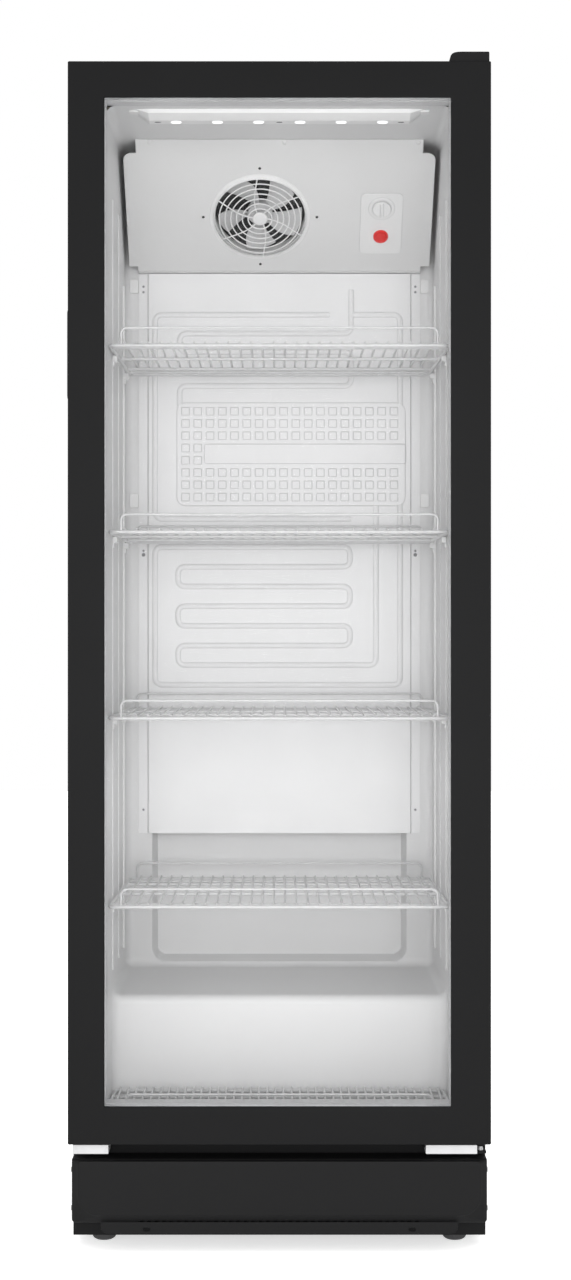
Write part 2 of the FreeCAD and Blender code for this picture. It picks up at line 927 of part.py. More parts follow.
def make_liner_back():
    """The back wall, pressed into a shallow recess behind the evaporator."""
    body = new_body("liner_back")
    skin = size.liner_skin
    y_strip = deep(size.liner_depth)
    y_recess = deep(size.recess_depth)
    half = size.recess_half
    hat = [
        (-half_inside, y_strip),
        (-half, y_strip),
        (-half, y_recess),
        (half, y_recess),
        (half, y_strip),
        (half_inside, y_strip),
        (half_inside, y_strip + skin),
        (half + skin, y_strip + skin),
        (half + skin, y_recess + skin),
        (-half - skin, y_recess + skin),
        (-half - skin, y_strip + skin),
        (-half_inside, y_strip + skin),
    ]
    pad(body, outline(body, "back_hat", "XY_Plane", hat), size.ceiling_height - size.step_height)
    sill = outline(body, "back_sill", "XY_Plane",
                   rectangle((-half - skin, half + skin), (y_strip, y_recess + skin)),
                   rectangle((-half_inside, -half - skin), (y_strip, y_strip + skin)),
                   rectangle((half + skin, half_inside), (y_strip, y_strip + skin)))
    pad(body, sill, skin, turned=True)
    lintel = outline(body, "back_lintel", "XY_Plane",
                     rectangle((-half - skin, half + skin), (y_strip + skin, y_recess + skin)))
    pad(body, lifted(lintel, size.ceiling_height - size.step_height), skin)
    place(body, 0, 0, size.step_height)
    node(body, "liner_back")


def pilaster_strips():
    """Slotted strips on the side walls, near the back, which the rear ledges hook into."""
    strips = []
    top = size.rib_top - size.pilaster_drop
    for side, sign in (("left", -1), ("right", 1)):
        face = half_inside - size.pilaster_rise
        x = sorted((sign * face, sign * half_inside), key=number)
        half_width = size.pilaster_width / 2
        y = (deep(size.pilaster_depth - half_width), deep(size.pilaster_depth + half_width))
        strip = block(f"pilaster_{side}_strip", x, y, (size.rib_bottom, top))
        slot_y = (deep(size.pilaster_depth - size.slot_width / 2),
                  deep(size.pilaster_depth + size.slot_width / 2))
        slots = []
        for step in range(int(number((top - size.rib_bottom) / size.slot_pitch))):
            low = size.rib_bottom + size.slot_pitch * (step + 1) - size.slot_length
            slots.append(block(f"pilaster_{side}_slot_{step}", x, slot_y,
                               (low, low + size.slot_length)))
        strips.append(cut(f"pilaster_{side}", strip, *slots))
    return strips


SHELF_HEIGHTS = {
    "shelf_1": size.shelf_one,
    "shelf_2": size.shelf_two,
    "shelf_3": size.shelf_three,
    "shelf_4": size.shelf_four,
}


def shelf_ledges():
    """Four ledges under each shelf: two on the front ribs and two on the pilasters."""
    ledges = []
    for shelf, height in SHELF_HEIGHTS.items():
        top = height - size.rail_radius - size.shelf_gap
        for side, sign in (("left", -1), ("right", 1)):
            for spot, depth, rise in (
                ("front", size.front_rib_depth, size.rib_rise),
                ("rear", size.pilaster_depth, size.pilaster_rise),
            ):
                wall = half_inside - rise
                x = sorted((sign * wall, sign * (wall - size.clip_reach)), key=number)
                y = (deep(depth - size.clip_width / 2), deep(depth + size.clip_width / 2))
                ledges.append(block(f"clip_{shelf}_{side}_{spot}", x, y,
                                    (top - size.clip_height, top)))
    return ledges


def make_shelf_supports():
    node(group("support_set", *pilaster_strips(), *shelf_ledges()), "shelf_supports")


# ---------------------------------------------------------------- kick panel and screws


VENT_COUNT = 38


def make_kick_panel():
    half = size.kick_width / 2
    body = new_body("kick_panel")
    depth = seal_depth - size.kick_front
    face = outline(body, "kick_face", "XZ_Plane", rectangle((-half, half),
                                                            (size.base_top, size.kick_top)))
    shell = pad(body, face, depth, turned=True)
    inside = rectangle((-half + size.kick_sheet, half - size.kick_sheet),
                       (size.base_top + size.kick_sheet, size.kick_top - size.kick_sheet))

    def lower_corner(edge):
        return runs_along(edge, "y") and edge.CenterOfMass.z < number(size.kick_top) - 1

    rounded = fillet(body, shell, size.kick_corner, lower_corner)
    body.Tip = rounded
    hollow = outline(body, "kick_inside", "XZ_Plane", inside)
    pocket(body, lifted(hollow, -size.kick_sheet))
    lip = outline(body, "kick_lip", "XZ_Plane",
                  rectangle((-size.lip_half, size.lip_half), (size.lip_bottom, size.base_top)))
    pad(body, lip, size.kick_sheet, turned=True)
    row_span = size.vent_pitch * (VENT_COUNT - 1)
    vent_x = (-row_span / 2 - size.vent_long / 2, -row_span / 2 + size.vent_long / 2)
    vent = pocket(body, outline(body, "kick_vent", "XZ_Plane", rectangle(
        vent_x, (size.base_top - size.vent_high, size.base_top))), both_ways=True)
    vents = body.newObject("PartDesign::LinearPattern", "kick_vents")
    vents.Originals = [vent]
    vents.Direction = (origin_plane(body, "YZ_Plane"), [""])
    vents.Occurrences = VENT_COUNT
    bind(vents, "Length", row_span)
    body.Tip = vents
    slot_low = size.lip_bottom + size.lip_slot_margin
    half_slot = size.lip_slot_long / 2
    slots = [
        rectangle((centre - half_slot, centre + half_slot),
                  (slot_low, slot_low + size.lip_slot_high))
        for centre in (-size.lip_slot_offset, size.lip_slot_offset)
    ]
    pocket(body, outline(body, "kick_slots", "XZ_Plane", *slots), both_ways=True)
    body.Tip = body.Group[-1]
    place(body, 0, deep(size.kick_front), 0)
    node(body, "kick_panel")


def screw(name, axis, head_side, spot):
    """A pan-head screw.  head_side is +1 or -1 along the axis, spot the seat of the head."""
    x, y, z = spot
    centre = {"X": (y, z), "Y": (x, z), "Z": (x, y)}[axis]
    seat = {"X": x, "Y": y, "Z": z}[axis]
    head = (seat, seat + size.screw_head_rise)
    if head_side < 0:
        head = (seat - size.screw_head_rise, seat)
    return rod(name + "_head", axis, size.screw_head, head, centre)


def make_screws():
    pieces = []
    margin = size.screw_margin
    grille_heights = (size.base_top + margin, (size.base_top + machine_top) / 2,
                      machine_top - margin)
    for side, sign in (("left", -1), ("right", 1)):
        for step, height in enumerate((size.base_top + margin * 1.5, size.kick_top - margin * 1.5)):
            spot = (sign * size.kick_width / 2, deep(seal_depth) - margin * 2, height)
            pieces.append(screw(f"kick_screw_{side}_{step}", "X", sign, spot))
        for step, height in enumerate(grille_heights):
            spot = (sign * (half_shell - margin), rear, height)
            pieces.append(screw(f"grille_screw_{side}_{step}", "Y", 1, spot))
        for step, height in enumerate((machine_top + margin, shell_top - margin * 2)):
            spot = (sign * (half_shell - margin), rear, height)
            pieces.append(screw(f"rear_screw_{side}_{step}", "Y", 1, spot))
    node(group("screw_set", *pieces), "panel_screws")


# ---------------------------------------------------------------- door


def door_planes():
    glass_front = size.front_lip
    glass_mid = glass_front + size.glass_sheet
    glass_inner = glass_mid + size.glass_gap
    glass_back = glass_inner + size.glass_sheet
    return SimpleNamespace(
        glass_front=glass_front, glass_mid=glass_mid,
        glass_inner=glass_inner, glass_back=glass_back,
    )


planes = door_planes()
window_x = (-half_door + size.handle_stile, half_door - size.hinge_stile)
window_z = (size.door_bottom + size.bottom_rail, size.door_top - size.top_rail)
glazing_x = (window_x[0] - size.trim_land, window_x[1] + size.trim_land)
glazing_z = (window_z[0] - size.trim_land, window_z[1] + size.trim_land)


def make_door_frame():
    """Two full-height stiles and two rails, each with a front lip that hides the glass edge."""
    z = (size.door_bottom, size.door_top)
    y_body = (deep(0), deep(size.door_depth))
    y_rebate = (deep(size.front_lip), deep(size.door_depth))
    left = block("handle_stile_bar", (-half_door, window_x[0]), y_body, z)
    left_rebate = block("handle_stile_rebate", (glazing_x[0], window_x[0]), y_rebate, glazing_z)
    recess = block(
        "handle_stile_recess",
        (-half_door, -half_door + size.handle_recess),
        (deep(size.handle_front_depth + size.handle_rim),
         deep(size.handle_back_depth - size.handle_rim)),
        (size.handle_bottom + size.handle_rim, size.handle_top - size.handle_rim),
    )
    node(cut("handle_stile_cut", left, left_rebate, recess), "door_stile_handle")
    right = block("hinge_stile_bar", (window_x[1], half_door), y_body, z)
    right_rebate = block("hinge_stile_rebate", (window_x[1], glazing_x[1]), y_rebate, glazing_z)
    bores = []
    seat = size.pin_radius + size.pin_clearance + size.bush_wall
    for end, spot in (("lower", size.door_bottom), ("upper", size.door_top)):
        inward = 1 if end == "lower" else -1
        deep_end = spot + inward * (size.pin_engagement + size.pin_end_gap)
        span = sorted((spot, deep_end), key=number)
        bores.append(rod(f"hinge_bore_{end}", "Z", seat, span, (hinge_x, hinge_y)))
        flange = sorted((spot, spot + inward * size.bush_flange), key=number)
        bores.append(rod(f"hinge_seat_{end}", "Z", size.bush_flange_radius, flange,
                         (hinge_x, hinge_y)))
    node(cut("hinge_stile_cut", right, right_rebate, *bores), "door_stile_hinge")
    rails = (
        ("bottom", (size.door_bottom, window_z[0]), (glazing_z[0], window_z[0])),
        ("top", (window_z[1], size.door_top), (window_z[1], glazing_z[1])),
    )
    for place_name, span, rebate in rails:
        bar = block(f"{place_name}_rail_bar", window_x, y_body, span)
        inner = block(f"{place_name}_rail_rebate", window_x, y_rebate, rebate)
        node(cut(f"{place_name}_rail_cut", bar, inner), f"door_rail_{place_name}")


def make_bushes():
    """Nylon bushes that line the door's two pin holes, with a flange at the mouth."""
    bushes = []
    bore = size.pin_radius + size.pin_clearance
    seat = bore + size.bush_wall
    for end, spot in (("lower", size.door_bottom), ("upper", size.door_top)):
        inward = 1 if end == "lower" else -1
        deep_end = spot + inward * (size.pin_engagement + size.pin_end_gap)
        span = sorted((spot, deep_end), key=number)
        flange = sorted((spot, spot + inward * size.bush_flange), key=number)
        tube = rod(f"bush_tube_{end}", "Z", seat, span, (hinge_x, hinge_y))
        rim = rod(f"bush_rim_{end}", "Z", size.bush_flange_radius, flange, (hinge_x, hinge_y))
        hole = rod(f"bush_hole_{end}", "Z", bore, span, (hinge_x, hinge_y))
        bushes.append(cut(f"bush_{end}", fuse(f"bush_solid_{end}", tube, rim), hole))
    node(group("bush_pair", *bushes), "hinge_bushes")


def make_glazing():
    glass_x = (glazing_x[0] + size.glass_setting, glazing_x[1] - size.glass_setting)
    glass_z = (glazing_z[0] + size.glass_setting, glazing_z[1] - size.glass_setting)
    outer = block("outer_pane", glass_x, (deep(planes.glass_front), deep(planes.glass_mid)),
                  glass_z)
    node(outer, "outer_glass")
    inner = block("inner_pane", glass_x, (deep(planes.glass_inner), deep(planes.glass_back)),
                  glass_z)
    node(inner, "inner_glass")
    width = size.spacer_width
    mitred_frame(
        "glass_spacer",
        (glass_x, glass_z),
        ((glass_x[0] + width, glass_x[1] - width), (glass_z[0] + width, glass_z[1] - width)),
        (deep(planes.glass_mid), deep(planes.glass_inner)),
    )
    mitred_frame(
        "door_trim",
        (glazing_x, glazing_z),
        (window_x, window_z),
        (deep(planes.glass_back), deep(size.door_depth)),
    )


def make_gasket():
    inset = size.gasket_inset
    inner = inset + size.gasket_width
    mitred_frame(
        "door_gasket",
        ((-half_door + inset, half_door - inset),
         (size.door_bottom + inset, size.door_top - inset)),
        ((-half_door + inner, half_door - inner),
         (size.door_bottom + inner, size.door_top - inner)),
        (deep(size.door_depth), deep(size.door_depth + size.gasket_depth)),
    )


def make_handle():
    """A moulded cup let into the edge of the door, with a flange round its mouth."""
    z = (size.handle_bottom, size.handle_top)
    y = (deep(size.handle_front_depth), deep(size.handle_back_depth))
    rim = size.handle_rim
    flange = block("handle_flange_plate", (-half_door - size.handle_flange, -half_door), y, z)
    cup_y = (y[0] + rim, y[1] - rim)
    cup_z = (z[0] + rim, z[1] - rim)
    cup = block("handle_cup", (-half_door, -half_door + size.handle_recess), cup_y, cup_z)
    wall = size.handle_wall
    hollow = block(
        "handle_hollow",
        (-half_door - size.handle_flange, -half_door + size.handle_recess - wall),
        (cup_y[0] + wall, cup_y[1] - wall),
        (cup_z[0] + wall, cup_z[1] - wall),
    )
    node(cut("handle_cut", fuse("handle_solid", flange, cup), hollow), "door_handle")


# ---------------------------------------------------------------- hinges


def make_top_hinge():
    """A plate on the cabinet's top that reaches over the door and carries the upper pin."""
    plate_low = size.door_top + size.door_gap
    plate_high = plate_low + size.bracket_plate
    x = (size.cover_left + size.cover_left_wall + size.top_plate_inset,
         size.cover_right - size.cover_wall - size.top_plate_inset)
    plate_rear = deep(seal_depth + size.top_plate_rear)
    plate = block("top_hinge_plate", x, (deep(size.bracket_reach), plate_rear),
                  (plate_low, plate_high))
    foot = block("top_hinge_foot", x, (deep(seal_depth + size.top_foot_gap), plate_rear),
                 (size.cabinet_top, plate_low))
    pin = rod("top_hinge_pin", "Z", size.pin_radius,
              (size.door_top - size.pin_engagement, plate_low), (hinge_x, hinge_y))
    node(fuse("top_hinge_solid", plate, foot, pin), "top_hinge_bracket")
    body = new_body("top_hinge_cover")
    x = (size.cover_left, size.cover_right)
    y = (deep(size.cover_front_depth), deep(size.cover_rear_depth))
    low = size.door_top + size.door_gap / 2
    shell = pad(body, outline(body, "cover_block", "XY_Plane", rectangle(x, y)),
                size.cover_top - low)
    place(body, 0, 0, low)

    def outer_corner(edge):
        at = edge.CenterOfMass
        upper_left = at.z > number(size.cover_top - low) - 1 and at.x < number(size.cover_left) + 1
        return runs_along(edge, "y") and upper_left

    rounded = fillet(body, shell, size.cover_round, outer_corner)
    body.Tip = rounded
    wall = size.cover_wall
    inside = outline(body, "cover_inside", "XY_Plane",
                     rectangle((x[0] + size.cover_left_wall, x[1] - wall),
                               (y[0] + wall, y[1] - wall)))
    pocket(body, inside, size.cover_top - low - wall, turned=True)
    boss_x = (size.cover_left + size.cover_right) / 2
    bosses = discs(body, "cover_bosses", "XY_Plane",
                   (boss_x, deep(seal_depth), size.cover_boss),
                   (boss_x, deep(seal_depth + size.cover_boss_pitch), size.cover_boss))
    pad(body, lifted(bosses, plate_high - low), size.cover_top - plate_high - wall / 2)
    body.Tip = body.Group[-1]
    node(body, "top_hinge_cover")


def make_bottom_hinge():
    """A folded angle under the door with the lower pin, bolted to the front of the base."""
    top = size.door_bottom - size.door_gap
    arm_top = size.bracket_level + size.bracket_plate
    x = (size.lower_bracket_left, hinge_x + size.lower_bracket_tail)
    arm = block("lower_hinge_arm", x, (deep(size.bracket_reach), deep(seal_depth)),
                (size.bracket_level, arm_top))
    face = block("lower_hinge_face", (size.lower_bracket_left, size.lower_bracket_right),
                 (deep(size.bracket_reach), deep(size.bracket_reach + size.bracket_plate)),
                 (size.bracket_level, top))
    back = block("lower_hinge_back", x, (deep(seal_depth - size.bracket_plate), deep(seal_depth)),
                 (size.bracket_level, top))
    pin = rod("lower_hinge_pin", "Z", size.pin_radius,
              (arm_top, size.door_bottom + size.pin_engagement), (hinge_x, hinge_y))
    collar = rod("lower_hinge_collar", "Z", size.pin_radius + size.collar_wall, (arm_top, top),
                 (hinge_x, hinge_y))
    node(fuse("lower_hinge_solid", arm, face, back, pin, collar), "bottom_hinge_bracket")


def make_corner_bracket():
    x = (-size.corner_bracket_outer, -size.corner_bracket_inner)
    arm = block("corner_bracket_arm", x, (deep(size.bracket_reach), deep(seal_depth)),
                (size.bracket_level, size.bracket_level + size.bracket_plate))
    face = block("corner_bracket_face", x,
                 (deep(size.bracket_reach), deep(size.bracket_reach + size.bracket_plate)),
                 (size.bracket_level, size.bracket_level + size.corner_face_high))
    back = block("corner_bracket_back", x, (deep(seal_depth - size.bracket_plate),
                                            deep(seal_depth)),
                 (size.bracket_level, size.bracket_level + size.corner_back_high))
    node(fuse("corner_bracket_solid", arm, face, back), "corner_bracket")


# ---------------------------------------------------------------- evaporator plate


COIL_ROWS = 7


def make_evaporator():
    """A roll-bonded plate: flat sheet, joggled side flanges and raised channels."""
    y_face = deep(size.liner_depth - size.plate_stand_off)
    y_wall = deep(size.liner_depth)
    skin = size.plate_sheet
    half = size.plate_half
    flat = half - size.plate_flange
    body = new_body("evaporator_plate")
    profile = [
        (-half, y_wall - skin),
        (-flat, y_wall - skin),
        (-flat, y_face),
        (flat, y_face),
        (flat, y_wall - skin),
        (half, y_wall - skin),
        (half, y_wall),
        (flat - skin, y_wall),
        (flat - skin, y_face + skin),
        (-flat + skin, y_face + skin),
        (-flat + skin, y_wall),
        (-half, y_wall),
    ]
    height = size.plate_top - size.plate_bottom
    pad(body, outline(body, "plate_profile", "XY_Plane", profile), height)
    half_channel = size.channel_width / 2

    def row(x, drop):
        return rectangle(x, (height - drop - half_channel, height - drop + half_channel))

    def column(x, drops):
        return rectangle((x - half_channel, x + half_channel),
                         (height - drops[0], height - drops[1]))

    left = size.loop_left_inset - half
    right = half - size.loop_right_inset
    loop_left = left - half_channel
    inner_left = left + size.channel_gap
    inner_right = right - size.channel_gap
    coil_top = size.coil_drop
    coil_bottom = coil_top + size.coil_row_pitch * (COIL_ROWS - 1)
    store_top = size.store_drop
    store_neck = store_top + size.store_high
    store_shoulder = store_neck + size.store_slot
    store_bottom = store_shoulder + size.store_high
    loop_bottom = coil_bottom + size.coil_row_pitch
    channels = [
        row((loop_left, inner_right), size.loop_drop),
        column(left, (coil_top - size.coil_first_gap, size.loop_drop + half_channel)),
        column(left, (loop_bottom - half_channel, coil_top)),
        row((loop_left, right + half_channel), loop_bottom),
        column(right, (loop_bottom - half_channel, store_bottom)),
        column(right, (store_top, size.loop_drop)),
        row((inner_left, inner_right), coil_top - size.coil_first_gap),
    ]
    channels += [
        row((inner_left, inner_right), coil_top + size.coil_row_pitch * step)
        for step in range(COIL_ROWS)
    ]
    channels += [
        row((inner_left, inner_right), size.loop_drop + drop)
        for drop in (size.feed_drop, size.feed_drop * 2, size.feed_drop * 4)
    ]
    store_x = (inner_left, right + half_channel)
    stores = [
        rectangle(store_x, (height - store_neck, height - store_top)),
        rectangle((inner_left, inner_left + size.neck_width),
                  (height - store_shoulder, height - store_neck)),
        rectangle(store_x, (height - store_bottom, height - store_shoulder)),
    ]
    pad(body, new_sketch_set(body, "channels", y_face, channels), size.channel_rise)
    pad(body, new_sketch_set(body, "stores", y_face, stores), size.accumulator_rise)
    place(body, 0, 0, size.plate_bottom)
    node(body, "evaporator_plate")


def new_sketch_set(body, name, y, loops):
    """Loops on an upright plane at depth y, which face the door."""
    return lifted(outline(body, name, "XZ_Plane", *loops), -y)


# ---------------------------------------------------------------- fan cover and fan


def make_fan_cover():
    """A folded sheet that slopes from the ceiling to the back wall."""
    body = new_body("fan_cover")
    lip = size.cover_lip
    half = size.cover_half
    shoulder = cover_slope - size.cover_tab
    shape = [
        (-size.cover_lip_half, 0),
        (size.cover_lip_half, 0),
        (size.cover_lip_half, lip),
        (half, lip),
        (half, shoulder),
        (size.cover_tab_half, shoulder),
        (size.cover_tab_half, cover_slope),
        (-size.cover_tab_half, cover_slope),
        (-size.cover_tab_half, shoulder),
        (-half, shoulder),
        (-half, lip),
        (-size.cover_lip_half, lip),
    ]
    panel = pad(body, outline(body, "cover_sheet", "XY_Plane", shape), size.cover_sheet,
                turned=True)

    def shoulder_edge(edge):
        at = edge.CenterOfMass
        beside = abs(abs(at.x) - number(half)) < 0.01
        return runs_along(edge, "z") and beside and abs(at.y - number(shoulder)) < 0.01

    rounded = fillet(body, panel, size.shoulder_radius, shoulder_edge)
    body.Tip = rounded
    holes = [
        (size.fan_offset, size.fan_up, size.fan_opening),
        (size.control_offset, size.knob_up, size.knob_shaft + size.shaft_clearance * 2),
        (size.control_offset, size.button_up, size.bezel_radius - size.bezel_ledge),
    ]
    screw_circle = size.fan_opening + size.fan_screw_gap
    for across, along in ((1, 0), (0, 1), (-1, 0), (0, -1)):
        holes.append((size.fan_offset + screw_circle * across, size.fan_up + screw_circle * along,
                      size.fan_screw_hole))
    pocket(body, discs(body, "cover_holes", "XY_Plane", *holes), both_ways=True)
    reach = size.liner_depth - size.slope_foot_depth
    fold = (size.cover_sheet * slope_rise, -size.cover_sheet * slope_run)
    heel = (-reach * slope_run, -reach * slope_rise)
    flange = outline(body, "cover_foot_flange", "YZ_Plane",
                     [(0, 0), heel, (heel[0] + fold[0], heel[1] + fold[1]), fold])
    pad(body, flange, size.cover_lip_half * 2, both_ways=True)
    body.Tip = body.Group[-1]
    node(body, "fan_cover", slope_placement)


def polar(angle, radius):
    return Vector(math.cos(angle), math.sin(angle), 0) * radius


GUARD_RINGS = 6
GUARD_SPOKES = 6


def make_fan_guard():
    """A flange ring and concentric wire rings on swirled spokes, as one welded piece."""
    wire = number(size.guard_wire)
    stand = number(size.guard_stand_off)
    flange = number(size.guard_sheet)
    opening = number(size.guard_opening)
    outer = number(size.guard_flange)
    ring_plate = Part.makeCylinder(outer, flange).cut(Part.makeCylinder(opening, flange))
    skirt = Part.makeCylinder(opening + number(size.guard_skirt), stand + wire).cut(
        Part.makeCylinder(opening, stand + wire))
    hub_radius = number(size.guard_hub)
    hub_high = number(size.guard_hub_high)
    hub = Part.makeCylinder(hub_radius, hub_high, Vector(0, 0, stand + wire - hub_high))
    rings = []
    first = number(size.guard_inner_ring)
    last = opening - number(size.guard_ring_gap)
    for step in range(GUARD_RINGS):
        radius = first + (last - first) * step / (GUARD_RINGS - 1)
        rings.append(Part.makeTorus(radius, wire, Vector(0, 0, stand)))
    spokes = []
    swirl = math.radians(number(size.spoke_swirl))
    lift = Vector(0, 0, stand - wire * 1.3)
    for turn in range(GUARD_SPOKES):
        outward = math.radians(number(size.spoke_turn) + 360 / GUARD_SPOKES * turn)
        start = polar(outward + swirl, hub_radius - wire * 2) + lift
        middle = polar(outward + swirl * 0.35, opening * 0.55) + lift
        end = polar(outward, opening + wire) + lift
        arc = Part.Arc(start, middle, end).toShape()
        tangent = arc.tangentAt(arc.FirstParameter)
        section = Part.Wire(Part.Circle(start, tangent, wire * 1.1).toShape())
        spokes.append(Part.Wire(arc).makePipeShell([section], True, False))
    guard = ring_plate.fuse([skirt, hub] + rings).fuse(spokes)
    shaped("fan_guard", guard, fan_placement)


def blade_shape(hub_radius, tip_radius, sweep, thickness, pitch, width):
    """One fan blade: a twisted plate between the hub and the tip."""
    sections = []
    for radius, turn in ((hub_radius - 1, pitch), (tip_radius, pitch * 0.7)):
        half = radius * math.radians(sweep) / 2
        slope = math.radians(turn)
        along = Vector(0, math.cos(slope), math.sin(slope))
        across = Vector(0, -math.sin(slope), math.cos(slope))
        limit = min(half, width / 2 / max(math.sin(slope), 0.1))
        middle = Vector(radius, 0, 0)
        corners = [
            middle - along * limit - across * thickness / 2,
            middle + along * limit - across * thickness / 2,
            middle + along * limit + across * thickness / 2,
            middle - along * limit + across * thickness / 2,
        ]
        sections.append(Part.makePolygon(corners + corners[:1]))
    blade = Part.makeLoft(sections, True, True)
    keep = Part.makeCylinder(tip_radius, 4 * width, Vector(0, 0, -2 * width))
    return blade.common(keep)


FAN_BLADES = 5
MOTOR_ARMS = 3


def fan_shape(hub_radius, tip_radius, width, blades, shaft):
    hub = Part.makeCylinder(hub_radius, width, Vector(0, 0, -width / 2))
    single = blade_shape(hub_radius, tip_radius, 360 / blades * 0.95,
                         number(size.blade_sheet), number(size.blade_pitch), width)
    pieces = []
    for turn in range(blades):
        copy = single.copy()
        copy.rotate(Vector(), Vector(0, 0, 1), 360 / blades * turn)
        pieces.append(copy)
    rotor = hub.fuse(pieces)
    return rotor.cut(Part.makeCylinder(shaft, width * 4, Vector(0, 0, -2 * width)))


def make_evaporator_fan():
    """A five-bladed fan on a motor that three arms hold behind the cover."""
    width = number(size.blade_width)
    gap = number(size.running_gap)
    shaft = number(size.fan_shaft)
    blade_level = -number(size.cover_sheet + size.blade_gap) - width / 2
    rotor = fan_shape(number(size.blade_hub), number(size.blade_radius), width, FAN_BLADES,
                      shaft + gap)
    lift = Placement(Vector(0, 0, blade_level), Rotation())
    shaped("evaporator_fan_blade", rotor, fan_placement * lift)
    motor_front = blade_level - width / 2 - number(size.motor_gap)
    motor_length = number(size.motor_length)
    motor = Part.makeCylinder(number(size.motor_radius), motor_length,
                              Vector(0, 0, motor_front - motor_length))
    spindle = Part.makeCylinder(shaft, width + number(size.motor_gap),
                                Vector(0, 0, motor_front))
    arms = []
    reach = number(size.fan_opening + size.motor_arm_gap)
    foot = number(size.motor_arm_foot)
    wide = number(size.motor_arm_width)
    low = motor_front - number(size.motor_arm_sheet) * 2
    for turn in range(MOTOR_ARMS):
        arm = Part.makeBox(reach + foot, wide, number(size.motor_arm_sheet),
                           Vector(0, -wide / 2, low))
        post = Part.makeBox(foot, wide, -number(size.cover_sheet) - low,
                            Vector(reach, -wide / 2, low))
        bar = arm.fuse(post)
        bar.rotate(Vector(), Vector(0, 0, 1), 30 + 360 / MOTOR_ARMS * turn)
        arms.append(bar)
    shaped("evaporator_fan_motor", motor.fuse([spindle] + arms), fan_placement)


# ---------------------------------------------------------------- controls


def make_controls():
    """The plate, dial, knob, switch and thermostat on the right of the fan cover."""
    body = new_body("control_plate")
    half = size.control_width / 2
    x = (size.control_offset - half, size.control_offset + half)
    sheet_pad = pad(body, outline(body, "control_sheet", "XY_Plane",
                                  rectangle(x, (size.control_low, size.control_high))),
                    size.control_sheet)
    rounded = fillet(body, sheet_pad, size.control_corner, lambda edge: runs_along(edge, "z"))
    body.Tip = rounded
    dial = discs(body, "dial_ring", "XY_Plane", (size.control_offset, size.knob_up,
                                                 size.dial_radius))
    pad(body, dial, size.control_sheet + size.dial_rise)
    holes = discs(body, "control_holes", "XY_Plane",
                  (size.control_offset, size.knob_up, size.knob_shaft + size.shaft_clearance),
                  (size.control_offset, size.button_up, size.bezel_radius - size.bezel_ledge))
    pocket(body, holes, both_ways=True)
    body.Tip = body.Group[-1]
    node(body, "control_plate", slope_placement)

    dial_top = size.control_sheet + size.dial_rise
    spot = (size.control_offset, size.knob_up)
    disc = rod("knob_disc", "Z", size.knob_radius,
               (dial_top + size.button_gap, dial_top + size.knob_rise - 3), spot)
    ridge = block("knob_ridge_bar",
                  (size.control_offset - size.knob_ridge / 2,
                   size.control_offset + size.knob_ridge / 2),
                  (size.knob_up - size.knob_radius + 1.5, size.knob_up + size.knob_radius - 1.5),
                  (dial_top + 1, dial_top + size.knob_rise))
    shaft = rod("knob_shaft_bar", "Z", size.knob_shaft, (-size.shaft_depth, dial_top + 1), spot)
    node(fuse("knob_solid", disc, ridge, shaft), "thermostat_knob", slope_placement)

    wide = size.thermostat_half_width
    high = size.thermostat_half_height
    case = block("thermostat_case", (size.control_offset - wide, size.control_offset + wide),
                 (size.knob_up - high, size.knob_up + high),
                 (-size.thermostat_depth, -size.cover_sheet))
    well = rod("thermostat_well", "Z", size.knob_shaft + size.running_gap,
               (-size.shaft_depth - size.pin_end_gap, -size.cover_sheet), spot)
    node(cut("thermostat_cut", case, well), "thermostat", slope_placement)

    spot = (size.control_offset, size.button_up)
    face = size.control_sheet
    rim = rod("bezel_rim", "Z", size.bezel_radius, (face, face + size.bezel_rise), spot)
    barrel = rod("bezel_barrel", "Z", size.bezel_radius - size.bezel_ledge,
                 (-size.bezel_depth, face), spot)
    well_end = size.bezel_bottom - size.bezel_depth
    bore = rod("bezel_bore", "Z", size.button_radius + size.button_gap,
               (well_end, face + size.bezel_rise), spot)
    node(cut("bezel_cut", fuse("bezel_solid", rim, barrel), bore), "switch_bezel",
         slope_placement)
    cap = rod("button_cap", "Z", size.button_radius, (-4, face + size.button_rise), spot)
    stem = rod("button_stem", "Z", size.button_radius / 2,
               (well_end + size.button_travel + 1, -3), spot)
    node(fuse("button_solid", cap, stem), "switch_button", slope_placement)


# ---------------------------------------------------------------- lamp


LENSES = 6


